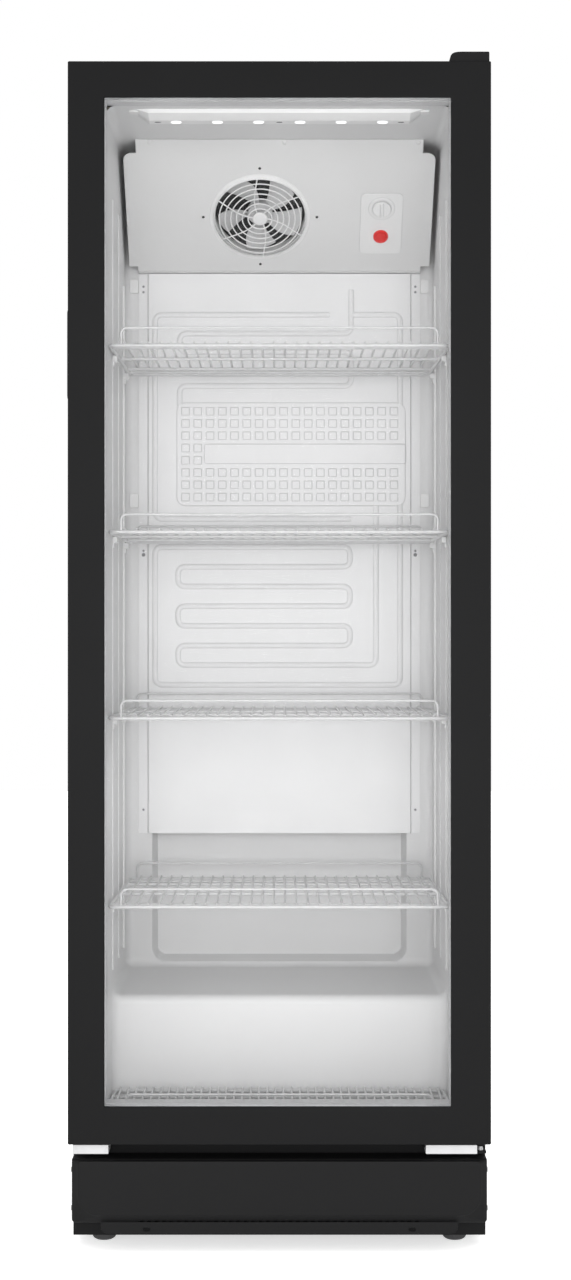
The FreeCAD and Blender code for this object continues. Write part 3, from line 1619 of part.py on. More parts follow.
def make_lamp():
    """A batten under the ceiling with tapered ends; its lenses face down."""
    top = size.ceiling_height
    low = top - size.lamp_drop
    wall = size.lamp_wall
    body = new_body("lamp_housing")
    profile = [
        (-size.lamp_half, top),
        (-size.lamp_lower_half, low),
        (size.lamp_lower_half, low),
        (size.lamp_half, top),
    ]
    depth = size.lamp_rear_depth - size.lamp_front_depth
    pad(body, outline(body, "lamp_profile", "XZ_Plane", profile), depth, turned=True)
    inner_half = size.lamp_lower_half - size.lamp_end_wall
    hollow = rectangle((-inner_half, inner_half), (low + wall, top))
    inside = outline(body, "lamp_inside", "XZ_Plane", hollow)
    pocket(body, lifted(inside, -wall), depth - wall * 2)
    lens_x = [size.lens_pitch * (step - (LENSES - 1) / 2) for step in range(LENSES)]
    holes = [(x, depth - size.lens_rear_gap, size.lens_radius) for x in lens_x]
    pocket(body, lifted(discs(body, "lens_holes", "XY_Plane", *holes), low), wall, turned=True)
    body.Tip = body.Group[-1]
    place(body, 0, deep(size.lamp_front_depth), 0)
    node(body, "lamp_housing")
    y = deep(size.lamp_rear_depth - size.lens_rear_gap)
    lenses = [
        rod(f"lens_{step}", "Z", size.lens_radius - size.lens_fit,
            (low - size.lens_proud, low + wall), (x, y))
        for step, x in enumerate(lens_x)
    ]
    board_end = inner_half - size.board_end_gap
    board = block("led_board", (-board_end, board_end), (y - size.board_half, y + size.board_half),
                  (low + wall, low + wall + size.board_sheet))
    node(fuse("led_solid", board, *lenses), "led_strip")


# ---------------------------------------------------------------- shelves


def shelf_solids(front_depth, rear_depth, half_front, half_rear, pitch, cross_depths, guards):
    """A welded wire grid, and the bent wires that stand at its edges, at height zero."""
    rail = number(size.rail_radius)
    wire = number(size.wire_radius)
    bite = number(size.weld_bite)
    y_front = number(deep(front_depth))
    y_rear = number(deep(rear_depth))
    reach_front = number(half_front) - rail
    reach_rear = number(half_rear) - rail

    def reach_at(y):
        share = (y - y_front) / (y_rear - y_front)
        return reach_front + (reach_rear - reach_front) * share

    loop = [
        Vector(0, y_front, 0),
        Vector(reach_front, y_front, 0),
        Vector(reach_rear, y_rear, 0),
        Vector(-reach_rear, y_rear, 0),
        Vector(-reach_front, y_front, 0),
        Vector(0, y_front, 0),
    ]
    pieces = [tube_along(loop, number(size.shelf_corner), rail)]
    cross = number(size.cross_rail_radius)
    for depth in cross_depths:
        y = number(deep(depth))
        reach = reach_at(y)
        pieces.append(bar_between(Vector(-reach, y, 0), Vector(reach, y, 0), cross))
    span = reach_rear - number(size.wire_margin)
    count = int(span * 2 // number(pitch)) + 1
    level = rail + wire - bite
    overhang = number(size.wire_overhang)
    for step in range(count):
        x = number(pitch) * (step - (count - 1) / 2)
        start = Vector(x, y_front - overhang, level)
        pieces.append(bar_between(start, Vector(x, y_rear + overhang, level), wire))
    grid = pieces[0].fuse(pieces[1:])
    solids = list(grid.Solids)
    for y, half, height in guards:
        side = number(half) - wire
        foot = rail
        top = number(height) - wire
        hoop = [
            Vector(-side, y, foot),
            Vector(-side, y, top),
            Vector(side, y, top),
            Vector(side, y, foot),
        ]
        solids += tube_along(hoop, number(size.guard_corner), wire).Solids
    return Part.makeCompound(solids)


def make_shelves():
    y_front = number(deep(size.shelf_front_depth))
    y_rear = number(deep(size.shelf_rear_depth))
    cross_depths = [size.shelf_front_depth + size.cross_rail_front,
                    size.shelf_front_depth + size.cross_rail_second,
                    size.shelf_front_depth + size.cross_rail_third,
                    size.shelf_rear_depth - size.cross_rail_rear]
    guards = [(y_front, size.guard_half, size.guard_height),
              (y_rear, size.guard_half, size.guard_height)]
    pattern = shelf_solids(size.shelf_front_depth, size.shelf_rear_depth, size.shelf_half_front,
                           size.shelf_half_rear, size.wire_pitch, cross_depths, guards)
    for name, height in SHELF_HEIGHTS.items():
        item = shaped(name, pattern.copy())
        place(item, 0, 0, height)
    rack_guards = [(y_front, size.rack_guard_half, size.rack_guard_height)]
    rack = shelf_solids(size.shelf_front_depth, size.rack_rear_depth, size.shelf_half_front,
                        size.shelf_half_front - size.rack_taper, size.rack_pitch,
                        [size.shelf_front_depth + size.rack_cross_rail], rack_guards)
    legs = []
    rail = number(size.rail_radius)
    drop = number(size.rack_height - size.floor_height - size.shelf_gap)
    bite = number(size.rack_leg_bite)
    spread = number(half_inside - size.rack_leg_inset)
    for x in (-spread, spread):
        for depth in (size.shelf_front_depth, size.rack_rear_depth):
            top = Vector(x, number(deep(depth)), bite - rail)
            legs.append(Part.makeCylinder(number(size.rack_leg_radius), drop - rail + bite, top,
                                          Vector(0, 0, -1)))
    frame = rack.Solids[0].fuse(legs)
    item = shaped("bottom_rack", Part.makeCompound(list(frame.Solids) + rack.Solids[1:]))
    place(item, 0, 0, size.rack_height)


# ---------------------------------------------------------------- feet


def make_feet():
    """Screw feet with a ribbed skirt, revolved, each on a stud through the base."""
    for name, sign, depth in (
        ("front_left", -1, size.foot_front_depth),
        ("front_right", 1, size.foot_front_depth),
        ("rear_left", -1, size.foot_rear_depth),
        ("rear_right", 1, size.foot_rear_depth),
    ):
        body = new_body(f"foot_{name}")
        radius = size.foot_radius
        stud = size.foot_stud
        gap = size.foot_gap
        top = size.base_bottom - gap
        profile = [
            (0, 0),
            (radius - size.foot_bevel, 0),
            (radius, size.foot_bevel_high),
            (radius, top),
            (stud, top),
            (stud, size.base_top - size.foot_stud_gap),
            (0, size.base_top - size.foot_stud_gap),
        ]
        sketch = outline(body, f"foot_{name}_half", "XZ_Plane", profile)
        turn = body.newObject("PartDesign::Revolution", f"foot_{name}_turn")
        turn.Profile = sketch
        turn.ReferenceAxis = (sketch, ["V_Axis"])
        turn.Angle = 360
        body.Tip = turn
        place(body, sign * size.foot_spread, deep(depth), 0)
        node(body, f"foot_{name}")


# ---------------------------------------------------------------- machine compartment


def make_compressor():
    """A welded steel can on a foot plate, with rubber mounts under its corners."""
    body = new_body("compressor")
    radius = size.compressor_radius
    high = size.compressor_height
    seam = high * 0.55
    lift = size.compressor_lift
    profile = [
        (0, lift),
        (radius - 14, lift),
        (radius, lift + 16),
        (radius, seam),
        (radius + 3, seam),
        (radius + 3, seam + 6),
        (radius, seam + 6),
        (radius, high - 34),
        (radius - 12, high - 12),
        (radius - 34, high),
        (0, high),
    ]
    sketch = outline(body, "can_half", "XZ_Plane", profile)
    can = body.newObject("PartDesign::Revolution", "can_turn")
    can.Profile = sketch
    can.ReferenceAxis = (sketch, ["V_Axis"])
    can.Angle = 360
    reach = size.compressor_foot_reach
    inset = size.compressor_foot_inset
    foot = outline(body, "foot_plate", "XY_Plane",
                   rectangle((-radius - reach, radius + reach), (inset - radius, radius - inset)))
    pad(body, foot, lift)
    body.Tip = body.Group[-1]
    low = base_floor + size.mount_height
    place(body, size.compressor_offset, deep(size.compressor_depth), low)
    node(body, "compressor")
    grommets = []
    for step, (side, end) in enumerate(((-1, -1), (-1, 1), (1, -1), (1, 1))):
        x = size.compressor_offset + side * (radius + reach - size.grommet_foot)
        y = deep(size.compressor_depth) + end * (radius - inset - size.grommet_foot)
        grommets.append(cone(f"grommet_{step}", "Z", (size.grommet_foot, size.grommet_top),
                             (base_floor, low), (x, y)))
    node(group("grommet_set", *grommets), "compressor_mounts")


COIL_LAYERS = (0.27, 0.73)
CONDENSER_ARMS = 4


def make_condenser():
    """A finned coil with a fan behind it in a sheet shroud."""
    x0 = number(size.condenser_left)
    x1 = x0 + number(size.condenser_width)
    y0 = number(deep(size.condenser_depth))
    thick = number(size.condenser_thickness)
    z0 = number(base_floor)
    high = number(size.condenser_height)
    pitch = number(size.fin_pitch)
    fin = number(size.fin_sheet)
    fins = []
    count = int((x1 - x0) // pitch)
    for step in range(count + 1):
        fins.append(Part.makeBox(fin, thick, high, Vector(x0 + pitch * step, y0, z0)))
    last = x0 + pitch * count + fin
    tubes = []
    overhang = number(size.coil_overhang)
    margin = number(size.coil_margin)
    rows = int((high - margin * 2) // number(size.coil_pitch)) + 1
    for row_step in range(rows):
        z = z0 + margin + number(size.coil_pitch) * row_step
        for layer in COIL_LAYERS:
            start = Vector(x0 - overhang, y0 + thick * layer, z)
            end = Vector(last + overhang, start.y, z)
            tubes.append(bar_between(start, end, number(size.coil_radius)))
    shaped("condenser", fins[0].fuse(fins[1:] + tubes))
    radius = number(size.condenser_fan_radius)
    mouth = radius + number(size.shroud_clearance)
    wall = number(size.shroud_wall)
    depth = number(size.shroud_depth)
    back = Vector(0, 1, 0)
    centre = Vector((x0 + last) / 2, y0 + thick, z0 + high / 2 + number(size.condenser_fan_lift))
    plate = Part.makeBox(last - x0, wall, high, Vector(x0, y0 + thick, z0))
    hole = Part.makeCylinder(mouth, depth, centre, back)
    collar = Part.makeCylinder(mouth + wall, depth, centre, back).cut(hole)
    shroud = plate.cut(hole).fuse(collar)
    motor_y = number(size.condenser_motor_depth)
    strip = 2.5
    arm_width = 9
    arm_y = motor_y + 6
    arms = []
    for turn in range(CONDENSER_ARMS):
        arm = Part.makeBox(mouth + wall, strip, arm_width, Vector(0, arm_y, -arm_width / 2))
        foot = Part.makeBox(3, arm_y - depth + 2, arm_width,
                            Vector(mouth + 0.2, depth - 2, -arm_width / 2))
        bar = arm.fuse(foot)
        bar.rotate(Vector(), back, 45 + 360 / CONDENSER_ARMS * turn)
        bar.translate(centre)
        arms.append(bar)
    motor = Part.makeCylinder(number(size.condenser_motor_radius),
                              number(size.condenser_motor_length),
                              centre + back * motor_y, back)
    width = number(size.condenser_fan_width)
    spindle_radius = number(size.condenser_spindle)
    spindle = Part.makeCylinder(spindle_radius, width + 4, centre + back * (motor_y - width - 3),
                                back)
    shaped("condenser_fan_frame", shroud.fuse([motor, spindle] + arms))
    rotor = fan_shape(number(size.condenser_fan_hub), radius, width, FAN_BLADES,
                      spindle_radius + number(size.running_gap))
    rotor.rotate(Vector(), Vector(1, 0, 0), -90)
    rotor.translate(centre + back * (motor_y - width / 2 - number(size.blade_gap)))
    shaped("condenser_fan_blade", rotor)


def make_pipes():
    """The discharge line to the condenser and the suction line up to the evaporator."""
    top = number(base_floor + size.mount_height) + 60
    start_x = number(size.compressor_offset - size.compressor_radius)
    y = number(deep(size.compressor_depth))
    condenser_right = number(size.condenser_left + size.condenser_width)
    coil_y = number(deep(size.condenser_depth)) + number(size.condenser_thickness) * COIL_LAYERS[0]
    discharge = [
        Vector(start_x - 0.2, y, top),
        Vector(start_x - 30, y, top),
        Vector(start_x - 30, coil_y, top),
        Vector(start_x - 30, coil_y, number(base_floor) + 200),
        Vector(condenser_right + 5, coil_y, number(base_floor) + 200),
    ]
    suction_x = number(size.compressor_offset) + 30
    roof = number(machine_top)
    suction = [
        Vector(suction_x, y, number(base_floor + size.mount_height + size.compressor_height)),
        Vector(suction_x, y, roof - 28),
        Vector(suction_x, y + 60, roof - 28),
        Vector(suction_x, y + 60, roof),
    ]
    tubes = [
        tube_along(discharge, 12, number(size.pipe_radius)),
        tube_along(suction, 10, number(size.suction_radius)),
    ]
    shaped("refrigerant_pipes", Part.makeCompound(tubes))


def make_electrics():
    """A relay box behind the grille and the grommet that a supply lead would pass through."""
    y_wall = rear - size.panel_skin
    x = (size.gland_offset - size.box_half, size.gland_offset + size.box_half)
    z = (size.gland_height - size.box_half_high, size.gland_height + size.box_half_high)
    y = (y_wall - size.box_depth, y_wall)
    wall = size.box_wall
    shell = block("electrical_case", x, y, z)
    hollow = block("electrical_hollow", (x[0] + wall, x[1] - wall), (y[0] + wall, y[1] - wall),
                   (z[0] + wall, z[1] - wall))
    mouth = rod("electrical_mouth", "Y", size.gland_radius, (y[1] - wall - 1, y[1] + 1),
                (size.gland_offset, size.gland_height))
    node(cut("electrical_cut", shell, hollow, mouth), "electrical_box")
    spot = (size.gland_offset, size.gland_height)
    span = (y_wall - size.gland_inward, rear + size.gland_proud)
    sleeve = rod("gland_sleeve", "Y", size.gland_radius, span, spot)
    rim = rod("gland_rim", "Y", size.gland_radius + size.gland_rim,
              (rear, rear + size.gland_rim_high), spot)
    bore = rod("gland_bore", "Y", size.gland_bore, span, spot)
    node(cut("gland_cut", fuse("gland_solid", sleeve, rim), bore), "mains_gland")


# ---------------------------------------------------------------- build and write

make_shell()
make_rear_grille()
make_base()
make_front_strips()
make_insulation()
make_liner()
make_shelf_supports()
make_kick_panel()
make_screws()
make_door_frame()
make_bushes()
make_glazing()
make_gasket()
make_handle()
make_top_hinge()
make_bottom_hinge()
make_corner_bracket()
make_evaporator()
make_fan_cover()
make_fan_guard()
make_evaporator_fan()
make_controls()
make_lamp()
make_shelves()
make_feet()
make_compressor()
make_condenser()
make_pipes()
make_electrics()

doc.recompute()

faults = []
for item in doc.Objects:
    if "Invalid" in item.State or "Error" in item.State:
        faults.append(f"{item.Label}: {item.State}")
for item in nodes:
    if item.Shape.isNull() or not item.Shape.isValid() or not item.Shape.Solids:
        faults.append(f"{item.Label}: shape is null, invalid or has no solid")
if faults:
    raise RuntimeError("; ".join(faults))

os.makedirs("parts", exist_ok=True)
for item in nodes:
    item.Shape.exportStep(os.path.join("parts", f"{item.Label}.step"))
print(f"{len(nodes)} parts written")
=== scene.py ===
import math
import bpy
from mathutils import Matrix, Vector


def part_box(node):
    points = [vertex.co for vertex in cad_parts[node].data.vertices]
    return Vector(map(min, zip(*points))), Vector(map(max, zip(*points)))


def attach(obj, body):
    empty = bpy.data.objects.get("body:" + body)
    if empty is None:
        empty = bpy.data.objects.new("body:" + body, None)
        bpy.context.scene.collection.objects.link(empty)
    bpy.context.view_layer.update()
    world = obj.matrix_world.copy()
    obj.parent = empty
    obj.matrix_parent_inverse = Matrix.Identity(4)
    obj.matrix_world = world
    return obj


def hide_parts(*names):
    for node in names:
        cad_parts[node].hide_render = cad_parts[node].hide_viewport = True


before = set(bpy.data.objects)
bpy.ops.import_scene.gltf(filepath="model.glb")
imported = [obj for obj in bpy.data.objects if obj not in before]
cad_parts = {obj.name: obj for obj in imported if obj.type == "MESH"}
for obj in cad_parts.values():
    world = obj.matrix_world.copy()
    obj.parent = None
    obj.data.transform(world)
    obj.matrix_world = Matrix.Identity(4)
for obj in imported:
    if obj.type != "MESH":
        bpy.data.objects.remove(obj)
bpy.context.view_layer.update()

from types import SimpleNamespace

import bmesh
import bpy
from mathutils import Matrix, Vector

# An upright glass door merchandiser.  Sizes are in millimetres: across from the middle of the
# cabinet, back from the front face of the closed door, and up from the floor.

MM = 0.001
DOOR_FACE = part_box("door_stile_handle")[0].y


def extent(*nodes):
    """The space that some CAD nodes fill together, in millimetres."""
    low = [min(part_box(node)[0][axis] for node in nodes) for axis in range(3)]
    high = [max(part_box(node)[1][axis] for node in nodes) for axis in range(3)]
    return SimpleNamespace(
        left=low[0] / MM, right=high[0] / MM,
        front=(low[1] - DOOR_FACE) / MM, back=(high[1] - DOOR_FACE) / MM,
        foot=low[2] / MM, top=high[2] / MM,
    )


# ---------------------------------------------------------------- finishes


class Signal:
    """A value that varies over a surface; sums on it add Math nodes to its finish."""

    def __init__(self, finish, socket):
        self.finish = finish
        self.socket = socket

    def joined(self, operation, first, second):
        return self.finish.node("ShaderNodeMath", {"operation": operation}, {0: first, 1: second})

    def __add__(self, other):
        return self.joined("ADD", self, other)

    def __radd__(self, other):
        return self.joined("ADD", other, self)

    def __rsub__(self, other):
        return self.joined("SUBTRACT", other, self)

    def __mul__(self, other):
        return self.joined("MULTIPLY", self, other)

    def __rmul__(self, other):
        return self.joined("MULTIPLY", other, self)


class Finish:
    """The shader of one material, built node by node."""

    def __init__(self, name):
        self.material = bpy.data.materials.new(name)
        self.material.use_nodes = True
        self.tree = self.material.node_tree
        self.tree.nodes.clear()

    def node(self, kind, settings=None, sockets=None, output=0):
        made = self.tree.nodes.new(kind)
        for setting, value in (settings or {}).items():
            setattr(made, setting, value)
        for name, value in (sockets or {}).items():
            if isinstance(value, Signal):
                self.tree.links.new(value.socket, made.inputs[name])
            else:
                made.inputs[name].default_value = value
        return Signal(self, made.outputs[output]) if made.outputs else None

    def place(self, stretch=(1, 1, 1)):
        """Positions on the piece itself, squeezed or stretched along its axes."""
        here = self.node("ShaderNodeTexCoord", output="Object")
        return self.node("ShaderNodeMapping", {}, {"Vector": here, "Scale": stretch})

    def grain(self, size, detail=2, stretch=(1, 1, 1)):
        """Soft noise whose features are about size millimetres across."""
        return self.node("ShaderNodeTexNoise", {}, {
            "Vector": self.place(stretch), "Scale": 1 / (size * MM), "Detail": detail,
        }, "Fac")

    def blend(self, mask, first, second):
        return self.node("ShaderNodeMix", {"data_type": "RGBA"},
                         {0: mask, 6: (*first, 1), 7: (*second, 1)}, 2)

    def ramp(self, mask, low, high):
        """The mask spread so that low becomes 0 and high becomes 1."""
        return self.node("ShaderNodeMapRange", {}, {0: mask, 1: low, 2: high})

    def bump(self, height, depth, strength=1.0):
        return self.node("ShaderNodeBump", {}, {
            "Height": height, "Distance": depth * MM, "Strength": strength,
        })

    def solid(self, **sockets):
        named = {name.replace("_", " "): value for name, value in sockets.items()}
        return self.node("ShaderNodeBsdfPrincipled", {}, named)

    def close(self, surface):
        self.node("ShaderNodeOutputMaterial", {}, {"Surface": surface})
        return self.material


def tinted(colour, share):
    return tuple(min(1.0, part * share) for part in colour)


def coated(name, colour, rough, grain, depth, patch=60, spread=0.05, stretch=(1, 1, 1), **more):
    """Paint, moulding or coating: a fine skin texture, and slow drifts of tone and sheen."""
    finish = Finish(name)
    skin = finish.grain(grain, 3, stretch)
    drift = finish.ramp(finish.grain(patch, 2), 0.35, 0.65)
    tone = finish.blend(0.75 * drift + 0.25 * skin, tinted(colour, 1 - spread),
                        tinted(colour, 1 + spread))
    sheen = (rough - 0.04) + 0.05 * drift + 0.03 * skin
    return finish.close(finish.solid(Base_Color=tone, Roughness=sheen,
                                     Normal=finish.bump(skin, depth), **more))


def spangled_zinc(name, colour, rough):
    """Hot dipped sheet: crystals a few millimetres across, each with its own brightness."""
    finish = Finish(name)
    crystals = finish.node("ShaderNodeTexVoronoi", {}, {"Vector": finish.place(), "Scale": 130.0},
                           "Color")
    facet = finish.node("ShaderNodeSeparateColor", {}, {0: crystals})
    haze = finish.grain(25, 3)
    tone = finish.blend(0.6 * facet + 0.4 * haze, tinted(colour, 0.78), tinted(colour, 1.12))
    return finish.close(finish.solid(Base_Color=tone, Metallic=0.85,
                                     Roughness=rough + 0.14 * facet,
                                     Normal=finish.bump(finish.grain(3, 2), 0.01)))


def brushed_metal(name, colour, rough, stretch):
    """Drawn or rolled metal with fine lines along its length and a slight tarnish."""
    finish = Finish(name)
    lines = finish.grain(0.5, 3, stretch)
    tarnish = finish.ramp(finish.grain(18, 3), 0.3, 0.75)
    tone = finish.blend(0.3 * lines + 0.7 * tarnish, tinted(colour, 0.84), tinted(colour, 1.1))
    return finish.close(finish.solid(Base_Color=tone, Metallic=1.0,
                                     Roughness=rough + 0.16 * tarnish,
                                     Normal=finish.bump(lines, 0.006)))


def glass_sheet(name):
    """Clear float glass: it reflects at its faces and lets the light through."""
    finish = Finish(name)
    wiped = finish.ramp(finish.grain(90, 2), 0.45, 0.8)
    clear = finish.node("ShaderNodeBsdfTransparent", {}, {"Color": (0.988, 0.988, 0.988, 1)})
    face = finish.solid(Base_Color=(0.9, 0.91, 0.91, 1), Roughness=0.02 + 0.03 * wiped,
                        Specular_IOR_Level=0.6)
    gloss = finish.node("ShaderNodeFresnel", {}, {"IOR": 1.16})
    share = 0.55 * gloss + 0.004 * wiped
    return finish.close(finish.node("ShaderNodeMixShader", {}, {0: share, 1: clear, 2: face}))


def closed_foam(name, colour):
    """Rigid insulation foam with open cells where it was cut."""
    finish = Finish(name)
    cells = finish.node("ShaderNodeTexVoronoi", {}, {"Vector": finish.place(), "Scale": 620.0},
                        "Distance")
    cloud = finish.grain(40, 3)
    tone = finish.blend(0.5 * cells + 0.5 * cloud, tinted(colour, 1.05), tinted(colour, 0.86))
    return finish.close(finish.solid(Base_Color=tone, Roughness=0.88 + 0.06 * cloud,
                                     Normal=finish.bump(cells, 0.25)))


def lit_lens(name, glow):
    """A frosted lens with a light behind it."""
    finish = Finish(name)
    frost = finish.grain(1.2, 3)
    tone = finish.blend(frost, (0.95, 0.96, 0.97), (1.0, 1.0, 1.0))
    return finish.close(finish.solid(Base_Color=tone, Roughness=0.28 + 0.1 * frost,
                                     Emission_Color=tone, Emission_Strength=glow,
                                     Normal=finish.bump(frost, 0.01)))


def switch_red(name):
    """Tinted clear plastic over a small lamp."""
    finish = Finish(name)
    flow = finish.grain(4, 2)
    tone = finish.blend(flow, (0.5, 0.012, 0.012), (0.68, 0.03, 0.025))
    return finish.close(finish.solid(Base_Color=tone, Roughness=0.2 + 0.08 * flow,
                                     Emission_Color=tone, Emission_Strength=0.25,
                                     Coat_Weight=0.4, Normal=finish.bump(flow, 0.01)))


black_paint = coated("black_paint_finish", (0.0085, 0.0085, 0.0088), 0.47, 1.6, 0.012,
                     patch=120, Specular_IOR_Level=0.06)
black_plastic = coated("black_plastic_finish", (0.0085, 0.0085, 0.0088), 0.5, 0.5, 0.02,
                       patch=70, Specular_IOR_Level=0.09)
grip_plastic = coated("grip_plastic_finish", (0.022, 0.022, 0.023), 0.5, 0.8, 0.03, patch=20)
white_paint = coated("white_paint_finish", (0.74, 0.74, 0.74), 0.42, 1.8, 0.012, patch=140,
                     spread=0.02)
liner_plastic = coated("liner_plastic_finish", (0.735, 0.735, 0.738), 0.44, 1.1, 0.015, patch=160,
                       spread=0.015)
white_plastic = coated("white_plastic_finish", (0.82, 0.82, 0.82), 0.36, 0.6, 0.012, patch=45,
                       spread=0.02)
grey_trim = coated("grey_trim_finish", (0.62, 0.62, 0.63), 0.4, 0.7, 0.014, patch=50, spread=0.03)
wire_coat = coated("wire_coat_finish", (0.64, 0.64, 0.645), 0.3, 2.2, 0.05, patch=12, spread=0.04,
                   Coat_Weight=0.25)
# painted shade: a darker grey for thin bands at the feet of raised channels, stores, the control
# plate and the dial, standing in for the shade that gathers there
painted_edge_shade = coated("painted_edge_shade_finish", (0.58, 0.58, 0.585), 0.45, 0.8, 0.01, patch=40)
bracket_paint = coated("bracket_paint_finish", (0.5, 0.5, 0.505), 0.35, 1.2, 0.01, patch=30)
plate_lacquer = coated("plate_lacquer_finish", (0.82, 0.82, 0.825), 0.38, 0.8, 0.012, patch=80,
                       spread=0.025, stretch=(1, 1, 0.08))
soft_rubber = coated("soft_rubber_finish", (0.03, 0.03, 0.031), 0.62, 0.9, 0.03, patch=25)
seal_vinyl = coated("seal_vinyl_finish", (0.5, 0.5, 0.505), 0.5, 0.8, 0.02, patch=35)
fan_plastic = coated("fan_plastic_finish", (0.62, 0.62, 0.625), 0.4, 0.7, 0.015, patch=30)
motor_enamel = coated("motor_enamel_finish", (0.012, 0.012, 0.013), 0.28, 3.0, 0.05, patch=30,
                      Coat_Weight=0.5)
dark_enamel = coated("dark_enamel_finish", (0.02, 0.02, 0.021), 0.36, 2.0, 0.03, patch=25)
screw_zinc = brushed_metal("screw_zinc_finish", (0.24, 0.24, 0.25), 0.4, (1, 1, 0.4))
zinc_plate = brushed_metal("zinc_plate_finish", (0.78, 0.79, 0.8), 0.34, (1, 1, 0.1))
spacer_bar = brushed_metal("spacer_bar_finish", (0.72, 0.73, 0.74), 0.3, (0.1, 1, 0.1))
copper_tube = brushed_metal("copper_tube_finish", (0.86, 0.44, 0.28), 0.26, (0.2, 0.2, 1))
galvanised = spangled_zinc("galvanised_finish", (0.62, 0.64, 0.66), 0.34)
pane_glass = glass_sheet("pane_glass_finish")
foam_core = closed_foam("foam_core_finish", (0.78, 0.66, 0.42))
lamp_lens = lit_lens("lamp_lens_finish", 1.0)
red_lens = switch_red("red_lens_finish")


# ---------------------------------------------------------------- shaping


def seat(across, up, out, origin):
    """Where a piece is shaped: its own across, up and out directions, and its origin."""
    columns = [Vector(across), Vector(up), Vector(out), Vector(origin)]
    matrix = Matrix.Identity(4)
    for column, vector in enumerate(columns):
        for row in range(3):
            matrix[row][column] = vector[row]
    return matrix


def facing_door(depth):
    return seat((1, 0, 0), (0, 0, 1), (0, -1, 0), (0, depth, 0))


def lying(height):
    return seat((1, 0, 0), (0, 1, 0), (0, 0, 1), (0, 0, height))


def on_left_wall(x):
    return seat((0, 1, 0), (0, 0, 1), (1, 0, 0), (x, 0, 0))


def on_right_wall(x):
    return seat((0, -1, 0), (0, 0, 1), (-1, 0, 0), (x, 0, 0))


def arc(centre, radius, start, sweep, steps):
    turns = [math.radians(start + sweep * step / steps) for step in range(steps + 1)]
    return [(centre[0] + radius * math.cos(t), centre[1] + radius * math.sin(t)) for t in turns]


def oblong(a, b, radius, c=0.0, steps=6, inset=0.0):
    """A ring round a rectangle; its corner radii start at the lower right and go up."""
    radii = radius if isinstance(radius, tuple) else (radius,) * 4
    low_a, high_a, low_b, high_b = a[0] + inset, a[1] - inset, b[0] + inset, b[1] - inset
    ring = []
    for (x, y), turn, corner in zip(
        ((high_a, low_b), (high_a, high_b), (low_a, high_b), (low_a, low_b)),
        (-90, 0, 90, 180), radii,
    ):
        r = max(corner - inset, 0.05)
        middle = (x - math.copysign(r, x - (a[0] + a[1]) / 2),
                  y - math.copysign(r, y - (b[0] + b[1]) / 2))
        ring += [(*point, c) for point in arc(middle, r, turn, 90, steps)]
    return ring


def circle(centre, radius, c=0.0, steps=40):
    return [(*point, c) for point in arc(centre, radius, 0, 360, steps)[:-1]]


def rounding(edge, steps=3):
    """How far in and how far up each step of a rounded edge lies."""
    for step in range(steps + 1):
        turn = math.radians(90 * step / steps)
        yield edge * (1 - math.sin(turn)), edge * (1 - math.cos(turn))


def bent(path, bend, looped=False, steps=5):
    """A path of points with each of its corners rounded to one bend radius."""
    points = [Vector(p) for p in path]
    if not bend:
        return points
    made = []
    for i, here in enumerate(points):
        last = (points[i - 1] if i or looped else here) - here
        ahead = (points[(i + 1) % len(points)] if i < len(points) - 1 or looped else here) - here
        if last.length < 1e-6 or ahead.length < 1e-6 or last.angle(ahead) > math.pi - 0.01:
            made.append(here)
            continue
        half = last.angle(ahead) / 2
        reach = min(bend / math.tan(half), last.length / 2.01, ahead.length / 2.01)
        start, end = here + last.normalized() * reach, here + ahead.normalized() * reach
        inward = (last.normalized() + ahead.normalized()).normalized()
        middle = here + inward * reach / math.cos(half)
        first, final = start - middle, end - middle
        sweep = first.angle(final)
        for step in range(steps + 1):
            share = step / steps
            turned = (first * math.sin((1 - share) * sweep) + final * math.sin(share * sweep))
            made.append(middle + turned / math.sin(sweep))
    return made


